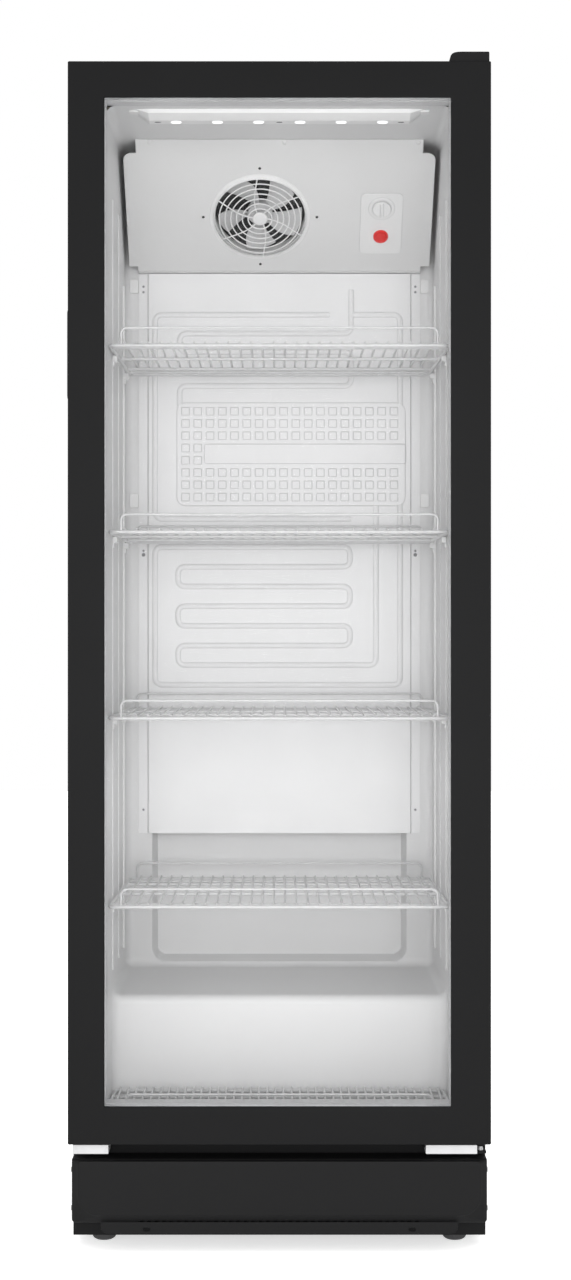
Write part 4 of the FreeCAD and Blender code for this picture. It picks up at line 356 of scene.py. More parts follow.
class Work:
    """The skin of one piece while it is being shaped, in millimetres."""

    def __init__(self, place=Matrix.Identity(4)):
        self.skin = bmesh.new()
        self.place = place

    def loft(self, rings, ends=(True, True), joined=False, open_rings=False):
        rows = [[self.skin.verts.new(self.place @ Vector(p)) for p in ring] for ring in rings]
        if joined:
            rows.append(rows[0])
        for low, high in zip(rows, rows[1:]):
            count = len(low)
            for i in range(count - 1 if open_rings else count):
                j = (i + 1) % count
                self.skin.faces.new((low[i], low[j], high[j], high[i]))
        if ends[0] and not joined:
            self.skin.faces.new(list(reversed(rows[0])))
        if ends[1] and not joined:
            self.skin.faces.new(rows[-1])
        return self

    def slab(self, a, b, c, radius=0.0, edge=0.4, steps=4):
        """A plate between heights c, with rounded corners and softened edges."""
        lower = [oblong(a, b, radius, c[0] + up, steps, inset) for inset, up in rounding(edge, 2)]
        upper = [oblong(a, b, radius, c[1] - up, steps, inset) for inset, up in rounding(edge, 2)]
        return self.loft(lower + upper[::-1])

    def lathe(self, profile, centre=(0.0, 0.0), steps=40, ribs=0, rib=0.0):
        """Rings of (radius, height) round an axis; ribs ripple the skin of those rings."""
        rings = []
        for radius, height in profile:
            ring = []
            for step in range(steps):
                turn = 2 * math.pi * step / steps
                reach = radius - (rib * (0.5 - 0.5 * math.cos(ribs * turn)) if ribs else 0)
                ring.append((centre[0] + reach * math.cos(turn),
                             centre[1] + reach * math.sin(turn), height))
            rings.append(ring)
        return self.loft(rings)

    def tube(self, path, radius, bend=0.0, looped=False, sides=10, oval=1.0):
        """A round wire along a path, with domed ends."""
        points = bent(path, bend, looped)
        count = len(points)
        across = None
        rings = []
        for i, here in enumerate(points):
            before = points[i - 1] if i or looped else here
            after = points[(i + 1) % count] if i < count - 1 or looped else here
            along = ((after - here).normalized() + (here - before).normalized()).normalized()
            if across is None:
                across = along.orthogonal().normalized()
                if abs(along.z) < 0.9:
                    across = Vector((0, 0, 1)).cross(along).normalized()
            across = (across - along * across.dot(along)).normalized()
            side = along.cross(across)
            rings.append((here, along, across, side))

        def hoop(here, across, side, share):
            turns = [2 * math.pi * step / sides for step in range(sides)]
            return [here + across * radius * share * math.cos(t)
                    + side * radius * share * oval * math.sin(t) for t in turns]

        hoops = [hoop(here, across, side, 1.0) for here, along, across, side in rings]
        if looped:
            return self.loft(hoops, joined=True)
        here, along, across, side = rings[0]
        hoops.insert(0, hoop(here - along * radius * 0.45, across, side, 0.6))
        here, along, across, side = rings[-1]
        hoops.append(hoop(here + along * radius * 0.45, across, side, 0.6))
        return self.loft(hoops)

    def frame(self, a, b, radius, section, steps=3):
        """A closed frame round a rectangle, swept from a section of (inset, height)."""
        return self.loft([oblong(a, b, radius, height, steps, inset)
                          for inset, height in section], joined=True)

    def collar(self, profile, centre=(0.0, 0.0), steps=72):
        """A closed ring round an axis, turned from a profile of (radius, height)."""
        return self.loft([circle(centre, radius, height, steps)
                          for radius, height in profile], joined=True)

    def sheet(self, outline, holes, c, edge=0.15):
        """A flat sheet between heights c, cut to an outline and pierced by holes."""
        curve = bpy.data.curves.new("outline", "CURVE")
        curve.dimensions = "2D"
        curve.fill_mode = "BOTH"
        curve.extrude = (c[1] - c[0]) / 2 - edge
        curve.bevel_depth = edge
        curve.bevel_resolution = 1
        curve.offset = -edge
        for ring in [outline] + [list(reversed(hole)) for hole in holes]:
            spline = curve.splines.new("POLY")
            spline.points.add(len(ring) - 1)
            for point, place in zip(spline.points, ring):
                point.co = (place[0], place[1], 0, 1)
            spline.use_cyclic_u = True
        holder = bpy.data.objects.new("outline", curve)
        bpy.context.scene.collection.objects.link(holder)
        made = bpy.data.meshes.new_from_object(
            holder.evaluated_get(bpy.context.evaluated_depsgraph_get()))
        made.transform(self.place @ Matrix.Translation((0, 0, (c[0] + c[1]) / 2)))
        self.skin.from_mesh(made)
        bpy.data.objects.remove(holder)
        bpy.data.curves.remove(curve)
        bpy.data.meshes.remove(made)
        return self

    def mesh(self, name, scale=1.0):
        bmesh.ops.remove_doubles(self.skin, verts=self.skin.verts, dist=0.003)
        bmesh.ops.recalc_face_normals(self.skin, faces=self.skin.faces)
        made = bpy.data.meshes.new(name)
        self.skin.to_mesh(made)
        self.skin.free()
        if scale != 1.0:
            move = Matrix.Translation((0, DOOR_FACE, 0)) @ Matrix.Scale(scale, 4)
            made.transform(move)
        return made

    def cut(self, tool):
        """Takes away the space that another closed skin fills."""
        pair = [bpy.data.objects.new(n, w.mesh(n)) for n, w in (("stock", self), ("tool", tool))]
        for item in pair:
            bpy.context.scene.collection.objects.link(item)
        modifier = pair[0].modifiers.new("cut", "BOOLEAN")
        modifier.operation = "DIFFERENCE"
        modifier.solver = "EXACT"
        modifier.object = pair[1]
        made = bpy.data.meshes.new_from_object(
            pair[0].evaluated_get(bpy.context.evaluated_depsgraph_get()))
        self.skin = bmesh.new()
        self.skin.from_mesh(made)
        for item in pair:
            bpy.data.objects.remove(item)
        bpy.data.meshes.remove(made)
        return self

    def fit(self, name, body, finish, slot, *nodes, crease=35):
        """Hangs the finished piece on its body, in place of the CAD nodes it stands for."""
        made = self.mesh(name, MM)
        made.materials.append(finish)
        made.shade_smooth()
        made.set_sharp_from_angle(angle=math.radians(crease))
        piece = bpy.data.objects.new(name, made)
        bpy.context.scene.collection.objects.link(piece)
        even = piece.modifiers.new("even_faces", "WEIGHTED_NORMAL")
        even.keep_sharp = True
        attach(piece, body)
        if nodes:
            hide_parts(*nodes)
        return piece


# ---------------------------------------------------------------- liner


CORNER = 13.0
SKIN = 1.5
STEP_DEPTH = 288.0
SHELVES = ("shelf_1", "shelf_2", "shelf_3", "shelf_4")
RIB_DEPTHS = (174.0, 293.0)
STRIP_DEPTH = 402.0
SHELF_GAP = 0.3


def make_liner():
    """The moulded white tub: floor, step over the machine bay, back with its recess, ceiling."""
    step, back = extent("liner_floor").top, extent("liner_floor").back
    half = extent("liner_ceiling").right - 0.1
    ceiling = extent("liner_ceiling").foot - 0.1
    step_front = extent("liner_floor").back - STEP_DEPTH
    bottom = extent("liner_floor").foot + SKIN
    recess = extent("liner_back").back - SKIN - back
    recess_half, recess_foot, recess_corner, recess_slope = 207, step + 8, 22.0, 8.0
    mouth = extent("front_strips").front + 0.1

    def profile(inset):
        inner, outer = max(CORNER - inset, 0.6), CORNER + inset
        low, face, top = bottom + inset, step_front - inset, step + inset
        wall, roof = back - inset, ceiling - inset
        line = [(mouth, low)]
        line += arc((face - inner, low + inner), inner, -90, 90, 6)
        line += [(face, low + (top - low) * share) for share in (0.3, 0.6)]
        line += arc((face + outer, top - outer), outer, 180, -90, 6)
        line += [(face + (wall - face) * share, top) for share in (0.35, 0.6, 0.8)]
        line += arc((wall - inner, top + inner), inner, -90, 90, 8)
        heights = [step + 16 + 2.5 * i for i in range(16)]
        heights += [500, 700, 900, 1100, 1300, 1500, 1560, 1600]
        line += [(wall, height) for height in heights if top + inner < height < roof - inner]
        line += arc((wall - inner, roof - inner), inner, 0, 90, 6)
        line += [(mouth, roof)]
        return line

    columns = [(half - CORNER * (1 - math.cos(math.radians(90 - 15 * i))),
                CORNER * (1 - math.sin(math.radians(90 - 15 * i)))) for i in range(6, -1, -1)]
    columns.sort(key=lambda pair: pair[0])
    inner_columns = [230, 222, 216, 213, 211, 209, 207, 205, 203, 201, 199, 197, 194, 190, 185,
                     150, 100, 50]
    spread = [(x, 0.0) for x in sorted(inner_columns)] + columns
    spread = [(-x, inset) for x, inset in reversed(spread)] + [(0.0, 0.0)] + spread

    def pressed(x, height):
        """How much of the recess lies behind this spot on the back wall."""
        dx = max(abs(x) - (recess_half - recess_corner), 0)
        dz = max(recess_foot + recess_corner - height, 0)
        away = recess_corner - math.hypot(dx, dz)
        share = min(max(away / recess_slope, 0), 1)
        return share * share * (3 - 2 * share)

    work = Work()
    rings = []
    for x, inset in spread:
        ring = []
        for d, z in profile(inset):
            push = recess * pressed(x, z) if d > back - 0.5 and z > step + 6 else 0
            ring.append((x, d + push, z))
        rings.append(ring)
    work.loft(rings, ends=(True, True), open_rings=True)
    work.fit("cabinet_liner", "cabinet", liner_plastic, "white_plastic", "liner_floor",
             "liner_back", "liner_ceiling", "liner_side_left", "liner_side_right", crease=28)


def make_foam():
    """The foam between the shell and the liner, rounded under the front edge of the step."""
    foam = extent("foam_insulation")
    tub = extent("liner_side_left", "liner_side_right", "liner_ceiling")
    step, back = extent("liner_floor").top - SKIN, extent("liner_back").back
    front = extent("liner_floor").back - STEP_DEPTH + SKIN
    bottom = extent("liner_floor").foot
    foam_wall, bend = 40, 15
    bay = (front + foam_wall, step - foam_wall)
    work = Work(on_left_wall(tub.left))
    outline = [(foam.front, foam.foot), (bay[0], foam.foot), bay, (foam.back, bay[1]),
               (foam.back, foam.top), (foam.front, foam.top), (foam.front, tub.top + 0.1),
               (back, tub.top + 0.1), (back, step)]
    outline += arc((front + bend, step - bend), bend, 90, 90, 5)
    outline += [(front, bottom), (foam.front, bottom)]
    work.loft([[(d, z, c) for d, z in outline] for c in (0, tub.right - tub.left)])
    sides = [(foam.front, foam.foot), (bay[0], foam.foot), bay, (foam.back, bay[1]),
             (foam.back, foam.top), (foam.front, foam.top)]
    for low, high in ((foam.left - tub.left, 0), (tub.right - tub.left, foam.right - tub.left)):
        work.loft([[(d, z, c) for d, z in sides] for c in (low, high)])
    work.fit("foam_filling", "cabinet", foam_core, "foam", "foam_insulation")


def make_wall_ribs():
    """Low moulded ribs down each side wall, and the slotted strips near the back."""
    half = extent("liner_ceiling").right
    strips = extent("shelf_supports")
    rib_span = (378, 1530)
    slot_high, slot_pitch = 10.5, 18
    for side, seat_on, sign in (("left", on_left_wall, 1), ("right", on_right_wall, -1)):
        work = Work(seat_on(-sign * half))
        for depth in RIB_DEPTHS:
            for width, height in ((5.0, 0.9), (3.2, 1.6)):
                work.slab((sign * depth - width, sign * depth + width),
                          rib_span, (-0.2, height), radius=min(width, 3), edge=0.6)
        work.fit(f"liner_ribs_{side}", "cabinet", liner_plastic, "white_plastic")
        depth = sign * STRIP_DEPTH
        outline = oblong((depth - 9, depth + 9), (strips.foot, strips.top), 2)
        slots = []
        level = strips.foot + 14
        while level < strips.top - 16:
            slots.append(oblong((depth - 1.6, depth + 1.6), (level, level + slot_high), 1.5,
                                steps=3))
            level += slot_pitch
        work = Work(seat_on(-sign * half))
        work.sheet(outline, slots, (0.1, 2.5))
        work.slab((depth - 8.4, depth + 8.4), (strips.foot + 1, strips.top - 1), (-0.3, 0.3))
        for shelf in SHELVES:
            top = extent(shelf).foot - SHELF_GAP
            for place, rise in ((sign * RIB_DEPTHS[0], 1.0), (depth, 2.5)):
                work.slab((place - 7, place + 7), (top - 9, top), (rise - 0.6, rise + 6.6),
                          radius=(2.5, 0.6, 0.6, 2.5), edge=0.7)
                work.slab((place - 4.5, place + 4.5), (top - 16, top - 8), (rise - 0.4, rise + 2),
                          radius=2.0, edge=0.5)
        nodes = ("shelf_supports",) if side == "left" else ()
        work.fit(f"shelf_ledges_{side}", "cabinet", white_plastic, "white_plastic", *nodes)


# ---------------------------------------------------------------- door


def make_door_frame():
    """One slim black frame round the glass, chamfered towards the window on the hinge side."""
    whole = extent("door_stile_handle", "door_stile_hinge")
    window = extent("door_rail_top")
    foot, top = extent("door_rail_bottom").top, extent("door_rail_top").foot
    pocket = extent("door_trim")
    handle = extent("door_handle")
    bush = extent("hinge_bushes")
    a, b = (whole.left, whole.right), (whole.foot, whole.top)
    work = Work(facing_door(0))
    rings = [oblong(a, b, 2.0, -whole.back, 3)]
    rings += [oblong(a, b, 2.0, -up, 3, inset) for inset, up in reversed(list(rounding(1.0, 3)))]
    rings += [
        oblong((window.left - 1.2, window.right + 6.5), (foot - 1.2, top + 1.2), 1.5, 0, 3),
        oblong((window.left, window.right), (foot, top), 1.0, -1.2, 3),
        oblong((window.left, window.right), (foot, top), 1.0, -3, 3),
        oblong((pocket.left, pocket.right), (pocket.foot, pocket.top), 1.0, -3, 3),
        oblong((pocket.left, pocket.right), (pocket.foot, pocket.top), 1.0, -whole.back, 3),
    ]
    work.loft(rings, joined=True)
    room = Work(on_right_wall(whole.left - 20))
    room.slab((-handle.back + 5.6, -handle.front - 5.6),
              (handle.foot + 5.6, handle.top - 5.6), (-40, -1), radius=2, edge=0.1)
    work.cut(room)
    middle = ((bush.left + bush.right) / 2, (bush.front + bush.back) / 2)
    for level, side in ((whole.foot, 1), (whole.top, -1)):
        hole = Work(lying(level))
        hole.lathe([(8.1, -side), (8.1, side * 1.05), (6.1, side * 1.05), (6.1, side * 24)],
                   middle, 36)
        work.cut(hole)
    work.fit("door_frame", "door", black_paint, "black_paint", "door_stile_handle",
             "door_stile_hinge", "door_rail_top", "door_rail_bottom")


def make_door_lining():
    """The light inner frame that covers the edge of the glass, and the seal round it."""
    trim = extent("door_trim")
    land = 12.0
    a, b = (trim.left, trim.right), (trim.foot, trim.top)
    work = Work(facing_door(0))
    back, front = -trim.back, -trim.front
    work.frame(a, b, 1.0, [
        (0.0, front), (0.0, back), (land - 4.0, back), (land - 3.0, back - 9.2),
        (land - 1.2, back - 9.2), (land - 0.6, back - 8.6), (land - 0.3, back),
        (land, front - 0.6), (land - 0.5, front),
    ])
    work.fit("door_lining", "door", grey_trim, "grey_frame", "door_trim")
    seal = extent("door_gasket")
    a, b = (seal.left, seal.right), (seal.foot, seal.top)
    section = [
        (0.5, 44.0), (0.0, 45.0), (1.4, 46.6), (0.3, 48.6), (1.6, 50.4), (0.8, 52.6), (2.4, 53.7),
        (19.6, 53.7), (21.2, 52.6), (20.4, 50.4), (21.7, 48.6), (20.6, 46.6), (22.0, 45.0),
        (21.5, 44.0),
    ]
    work = Work(facing_door(0))
    work.frame(a, b, 5.0, [(inset, -depth) for inset, depth in section], 4)
    work.fit("door_seal", "door", seal_vinyl, "gasket_rubber", "door_gasket", crease=60)


def make_panes():
    for node, name in (("outer_glass", "outer_pane"), ("inner_glass", "inner_pane")):
        pane = extent(node)
        work = Work(facing_door(0))
        work.slab((pane.left, pane.right), (pane.foot, pane.top), (-pane.back, -pane.front),
                  radius=2.0, edge=0.7)
        work.fit(name, "door", pane_glass, "glass_pane", node)


def make_pull():
    """A finger cup let into the left edge of the door, with a thin flange round it."""
    cup = extent("door_handle")
    flange = 1.5
    rim = 6.0
    work = Work(on_right_wall(cup.left + flange))
    a, b = (-cup.back, -cup.front), (cup.foot, cup.top)
    deep = -(cup.right - cup.left - flange) + 0.2
    work.loft([oblong(a, b, 6.0, height, 5, inset) for height, inset in (
        (deep, rim - 0.1), (0.0, rim - 0.1), (0.0, 0.0), (flange - 0.5, 0.0),
        (flange - 0.1, 0.4), (flange, 1.0), (flange, rim - 0.8), (flange - 0.6, rim + 0.4),
        (-3.0, rim + 1.2), (deep + 3.0, rim + 1.8), (deep + 1.4, rim + 3.4))])
    work.fit("finger_pull", "door", black_plastic, "black_plastic", "door_handle")


def make_hinge_cover():
    """The cap over the top hinge: it rises steeply at its left end and runs flat to the right."""
    cap = extent("top_hinge_cover")
    low, high = cap.foot, cap.top
    rise = high - low
    line = [(cap.left, low)]
    line += [(cap.left + along, low + rise * share) for along, share in (
        (1.0, 0.35), (2.2, 0.62), (4.2, 0.8), (7.6, 0.92), (12.0, 0.98))]
    line += [(cap.left + 17.0, high), (cap.right - 1.6, high), (cap.right - 0.5, high - 0.5),
             (cap.right, high - 1.6), (cap.right, low)]
    middle = (cap.left + cap.right) / 2
    rings = []
    span = cap.back - cap.front
    ways = [(cap.front + up, inset) for inset, up in rounding(1.2)]
    ways += [(cap.back - up, inset) for inset, up in reversed(list(rounding(2.5)))]
    for depth, inset in ways:
        rings.append([(x - math.copysign(inset, x - middle), depth,
                       z - (inset if z > low + 0.1 else 0)) for x, z in line])
    work = Work()
    work.loft(rings)
    plug = Work(lying(high))
    spot = (cap.right - 24, cap.front + span * 0.62)
    plug.lathe([(5.4, -0.6), (5.4, 1.0)], spot, 28)
    work.cut(plug)
    work.place = lying(high - 0.6)
    work.lathe([(5.0, 0.0), (5.0, 0.25), (4.6, 0.45)], spot, 28)
    work.fit("top_hinge_cap", "cabinet", black_plastic, "black_plastic", "top_hinge_cover")


def make_lower_brackets():
    """Folded brackets under the door: the pin's on the right, a plain one on the left."""
    pin = extent("bottom_hinge_bracket")
    low = pin.foot
    centre = (287.0, 22.0)
    bright_end = 281.0
    work = Work()
    work.place = facing_door(pin.front)
    work.slab((pin.left, bright_end), (low, low + 12.6), (-2.4, 0), radius=1.2, edge=0.5)
    work.place = lying(low)
    work.slab((pin.left, bright_end), (pin.front + 0.6, pin.back), (0.0, 2.8),
              radius=(0.5, 0.5, 3, 3), edge=0.4)
    work.lathe([(3.7, 2.6), (3.6, 4.4), (3.1, 6.6), (2.6, 8.2), (2.6, 9.6)], centre, 32)
    work.fit("lower_hinge_bracket", "cabinet", bracket_paint, "zinc_steel", "bottom_hinge_bracket")
    arm = Work(lying(low))
    arm.slab((bright_end + 0.2, pin.right - 0.5), (pin.front + 2.6, pin.back), (0.0, 2.7),
             radius=3.0, edge=0.4)
    arm.lathe([(6.4, 9.0), (6.6, 9.4), (6.6, 13.6), (3.95, 13.9), (3.95, 33.6), (3.2, 34.8)],
              centre, 36)
    arm.place = facing_door(pin.back)
    arm.slab((pin.left + 4, pin.right - 4), (low, low + 14.0), (0, 2.6), radius=2.0, edge=0.4)
    arm.fit("lower_hinge_arm", "cabinet", black_paint, "zinc_steel")
    plain = extent("corner_bracket")
    work = Work(facing_door(plain.front))
    work.slab((plain.left, plain.right), (plain.foot, plain.top - 0.2), (-2.4, 0), radius=1.2,
              edge=0.5)
    work.place = lying(plain.foot)
    work.slab((plain.left, plain.right), (plain.front + 0.6, plain.back), (0.0, 2.8), radius=3.0,
              edge=0.4)
    work.place = facing_door(plain.back)
    work.slab((plain.left, plain.right), (plain.foot, plain.top), (0, 2.4), radius=1.0, edge=0.4)
    work.fit("lower_corner_bracket", "cabinet", bracket_paint, "zinc_steel", "corner_bracket")


# ---------------------------------------------------------------- kick panel and feet


def make_kick_panel():
    """A moulded plinth panel: a raised field, sloped borders, and a lip with vents below."""
    panel = extent("kick_panel")
    base = extent("base_frame").foot + 27.5
    a, b = (panel.left, panel.right), (base, panel.top)
    depth = panel.back - panel.front
    field_a, field_b = (panel.left + 9, panel.right - 9), (base + 11.5, panel.top - 2.5)
    corners = (30.0, 5.0, 5.0, 30.0)
    work = Work(facing_door(panel.front))
    work.loft([
        oblong(a, b, (5.0, 2.0, 2.0, 5.0), -depth, 10),
        oblong(a, b, (5.0, 2.0, 2.0, 5.0), -9.0, 10),
        oblong(a, b, (5.0, 2.0, 2.0, 5.0), -7.6, 10, 0.5),
        oblong(a, b, (6.0, 2.0, 2.0, 6.0), -6.6, 10, 1.8),
        oblong((field_a[0] - 2, field_a[1] + 2), (field_b[0] - 2.2, field_b[1] + 0.8), corners,
               -3.4, 10),
        oblong(field_a, field_b, corners, -0.6, 10),
        oblong(field_a, field_b, corners, 0.0, 10, 1.6),
    ])
    vents = Work(facing_door(panel.front))
    vent_count, vent_pitch, vent_half = 38, 10.6, 3.4
    for step in range(vent_count):
        x = vent_pitch * (step - (vent_count - 1) / 2)
        vents.slab((x - vent_half, x + vent_half), (base + 1.0, base + 3.2), (-12, 2),
                   radius=0.9, edge=0.05, steps=2)
    work.cut(vents)
    lip_half, hole_across = 254.0, 189
    outline = oblong((-lip_half, lip_half), (panel.foot, base + 2), (10.0, 0.5, 0.5, 10.0),
                     steps=8)
    holes = [oblong((x - 5.5, x + 5.5), (panel.foot + 3.2, panel.foot + 8.8), 2.7)
             for x in (-hole_across, hole_across)]
    work.place = facing_door(panel.front + 2.4)
    work.sheet(outline, holes, (-2.0, 0.0), 0.4)
    work.fit("kick_panel_moulding", "cabinet", black_plastic, "black_plastic", "kick_panel")


def make_feet():
    for corner in ("front_left", "front_right", "rear_left", "rear_right"):
        node = f"foot_{corner}"
        foot = extent(node)
        radius = (foot.right - foot.left) / 2
        centre = ((foot.left + foot.right) / 2, (foot.front + foot.back) / 2)
        work = Work(lying(0))
        work.lathe([(radius - 6.5, 0.0), (radius - 5.0, 0.2), (radius - 3.0, 1.2),
                    (radius - 1.0, 2.8), (radius, 4.6), (radius, 12.2), (radius - 0.7, 13.6),
                    (radius - 1.6, 14.1)], centre, 144, ribs=36, rib=0.7)
        work.lathe([(4.0, 13.6)] + [(4.0 - 0.45 * (step % 2), 14.4 + 0.75 * step)
                                    for step in range(28)], centre, 24)
        work.fit(f"screw_{node}", node, grip_plastic, "foot_rubber", node, crease=50)


# ---------------------------------------------------------------- cold plate


FLANGE_FACE = 456.4
STORE_PITCH = 19.9


def make_cold_plate():
    """The roll-bonded plate on the back wall: joggled flanges, raised channels and stores."""
    plate = extent("evaporator_plate")
    flange_back = FLANGE_FACE + SKIN
    half = plate.right
    face = plate.back - 8.0
    flat = half - 15.4
    work = Work()
    profile = [(-half, FLANGE_FACE), (-flat - 1.5, FLANGE_FACE), (-flat + 1.0, face),
               (flat - 1.0, face), (flat + 1.5, FLANGE_FACE), (half, FLANGE_FACE),
               (half, flange_back), (flat + 0.4, flange_back), (flat - 2.0, face + SKIN),
               (-flat + 2.0, face + SKIN), (-flat - 0.4, flange_back), (-half, flange_back)]
    work.loft([[(x, d, z) for x, d in profile] for z in (plate.foot, plate.top)])
    work.place = facing_door(face)

    # crease holds thin darker bands along the channels and round the stores: painted shade at
    # their feet
    crease = Work(facing_door(face))

    def channel(path):
        """A raised channel, with a darker band along both sides of it: painted shade at its foot.
        """
        work.tube([(x, z, 0.1) for x, z in path], 3.9, 11.0, sides=8, oval=0.42)
        crease.tube([(x, z, 0.0) for x, z in path], 4.6, 11.0, sides=4, oval=0.05)

    left, right = -202.0, 196.0
    loop_top, loop_foot, store_foot, store_top = 1398.5, 797.8, 1092, 1251
    coil_rows = (1021.5, 989.5, 957.5, 925.5, 893.5, 861.6, 829.9)
    near, far, return_pipe = -164.6, 114.6, 156.8
    channel([(80, loop_top), (left, loop_top), (left, 1067), (-164, 1067)])
    channel([(-166, coil_rows[0]), (left, coil_rows[0]), (left, loop_foot), (right, loop_foot),
             (right, store_foot)])
    channel([(right, store_top), (right, loop_top), (120, loop_top)])
    channel([(far, 1066.9), (-162.6, 1066.9)])
    coil = []
    for height in coil_rows:
        coil += [(near, height), (far, height)]
        near, far = far, near
    channel(coil[:-1] + [(return_pipe, coil_rows[-1]), (return_pipe, store_foot)])
    channel([(-162, store_top), (-162, 1283), (116.5, 1283), (116.5, 1338), (-162, 1338),
             (-162, 1368), (116.5, 1368), (116.5, 1438)])

    def outlined(a, b, radius, steps, width):
        """A thin darker band along the edge of a store: painted shade at its foot."""
        crease.frame(a, b, radius, ((0.0, 0.12), (width, 0.12), (width, -0.2), (0.0, -0.2)),
                     steps)

    squares = []
    square_half = 6.75
    for column in range(18):
        for row in range(8):
            if row in (3, 4) and column > 1:
                continue
            x = -152.4 + STORE_PITCH * column
            z = 1241.7 - STORE_PITCH * row
            span = ((x - square_half, x + square_half), (z - square_half, z + square_half))
            squares.append(oblong(*span, 1.5, steps=2))
            outlined(*span, 1.5, 2, 1.1)
    store = [p[:2] for p in oblong((-166, 204), (1088.6, 1255), 14.0, steps=5)]
    gap = oblong((-122.5, 214), (1156, 1189), (0.2, 0.2, 6.0, 6.0), steps=4)
    pads = Work(facing_door(face))
    pads.sheet(store, squares, (0.0, 2.4), 0.5)
    outlined((-167, 205), (1087.6, 1256), 15.0, 5, 1.2)
    outlined((-122.5, 206), (1156, 1189), 5.0, 5, 1.2)
    slot = Work(facing_door(face))
    slot.loft([[(x, z, level) for x, z, _ in gap] for level in (-1.0, 4.0)])
    pads.cut(slot)
    pads.fit("cold_plate_stores", "cabinet", plate_lacquer, "plate_aluminium")
    crease.fit("cold_plate_painted_crease_shade", "cabinet", painted_edge_shade, "plate_aluminium")
    screws = Work(facing_door(FLANGE_FACE))
    for x in (-221.0, 221.0):
        for z, radius in ((594.6, 1.9), (1009.0, 3.0), (1015.5, 1.8), (1436.0, 1.9),
                          (1445.0, 1.9)):
            screws.lathe([(radius, 0.0), (radius, 0.3), (radius - 0.5, 0.5)], (x, z), 20)
    screws.fit("plate_screws", "cabinet", screw_zinc, "zinc_steel")
    work.fit("cold_plate", "cabinet", plate_lacquer, "plate_aluminium", "evaporator_plate",
             crease=40)
    hooks = Work(facing_door(FLANGE_FACE - 0.2))
    for x in (-236, 236):
        for z in (748.5, 1097.0, 1445.0):
            hooks.slab((x - 7, x + 7), (z - 11, z + 11), (-1.4, 3.2), radius=2.0, edge=0.7)
    hooks.fit("plate_hooks", "cabinet", white_plastic, "white_plastic")


# ---------------------------------------------------------------- fan cover and controls


SLOPE = math.sqrt(0.5)
FOLD_DEPTH, FOLD_HEIGHT = 440.0, 1467.0
FOLD_HALF = 228
ON_SLOPE = seat((1, 0, 0), (0, -SLOPE, SLOPE), (0, -SLOPE, -SLOPE),
                (0, FOLD_DEPTH, FOLD_HEIGHT))
FAN = (-30.6, 104.7)
FAN_SCREWS = 90
DIAL = (161.5, 121.6)
SWITCH = (161.5, 69.3)


def on_fan(height=0.0):
    return ON_SLOPE @ Matrix.Translation((FAN[0], FAN[1], height))


def make_fan_cover():
    """The folded sheet that slopes from the ceiling to the back wall."""
    cover = extent("fan_cover")
    length = (cover.top - FOLD_HEIGHT) / SLOPE - SKIN
    half = cover.right
    tab = 222.0
    shoulder = length - 24
    bend = 13
    outline = [(-FOLD_HALF, 0.4), (FOLD_HALF, 0.4), (FOLD_HALF, 10), (half, 10)]
    outline += arc((half - bend, shoulder - bend), bend, 0, 90, 8)
    outline += [(tab, shoulder), (tab, length), (-tab, length), (-tab, shoulder)]
    outline += arc((-half + bend, shoulder - bend), bend, 90, 90, 8)
    outline += [(-half, 10), (-FOLD_HALF, 10)]
    holes = [circle(FAN, 74, steps=72), circle(DIAL, 6, steps=20), circle(SWITCH, 10.4, steps=24)]
    for turn in range(4):
        angle = math.radians(90 * turn)
        spot = (FAN[0] + FAN_SCREWS * math.cos(angle), FAN[1] + FAN_SCREWS * math.sin(angle))
        holes.append(circle(spot, 1.8, steps=14))
    work = Work(ON_SLOPE)
    work.sheet(outline, holes, (-SKIN, 0.0))
    work.place = lying(FOLD_HEIGHT)
    work.slab((-FOLD_HALF, FOLD_HALF), (FOLD_DEPTH + 0.6, 457.8), (-1.2, 0.2), radius=0.3,
              edge=0.2)
    work.place = on_fan()
    work.collar(((72.6, -1.3), (72.6, -19.5), (71.8, -20.0), (71.0, -19.5), (71.0, -1.3)))
    work.place = ON_SLOPE
    for x in (-200, 8, 214):
        work.lathe([(3.6, 0.0), (3.5, 0.8), (2.4, 1.6), (1.0, 1.9)], (x, length - 5), 20)
    work.fit("fan_cover_sheet", "cabinet", white_paint, "white_paint", "fan_cover")
    screws = Work(on_fan())
    for x, up in ((FAN_SCREWS, 0), (0, FAN_SCREWS), (-FAN_SCREWS, 0), (0, -FAN_SCREWS)):
        screws.lathe([(1.7, -3.0), (1.7, 0.0), (2.2, 0.1), (2.2, 0.6), (1.2, 1.0)], (x, up), 18)
    screws.fit("fan_cover_screws", "cabinet", dark_enamel, "zinc_steel")
    dish = Work(on_fan())
    dish.collar(((27.4, -25.4), (71.6, -25.4), (72.4, -24.6), (72.4, -21.0), (71.6, -21.0),
                 (70.6, -24.0), (27.4, -24.4)), steps=64)
    dish.fit("fan_back_dish", "cabinet", dark_enamel, "motor_black")


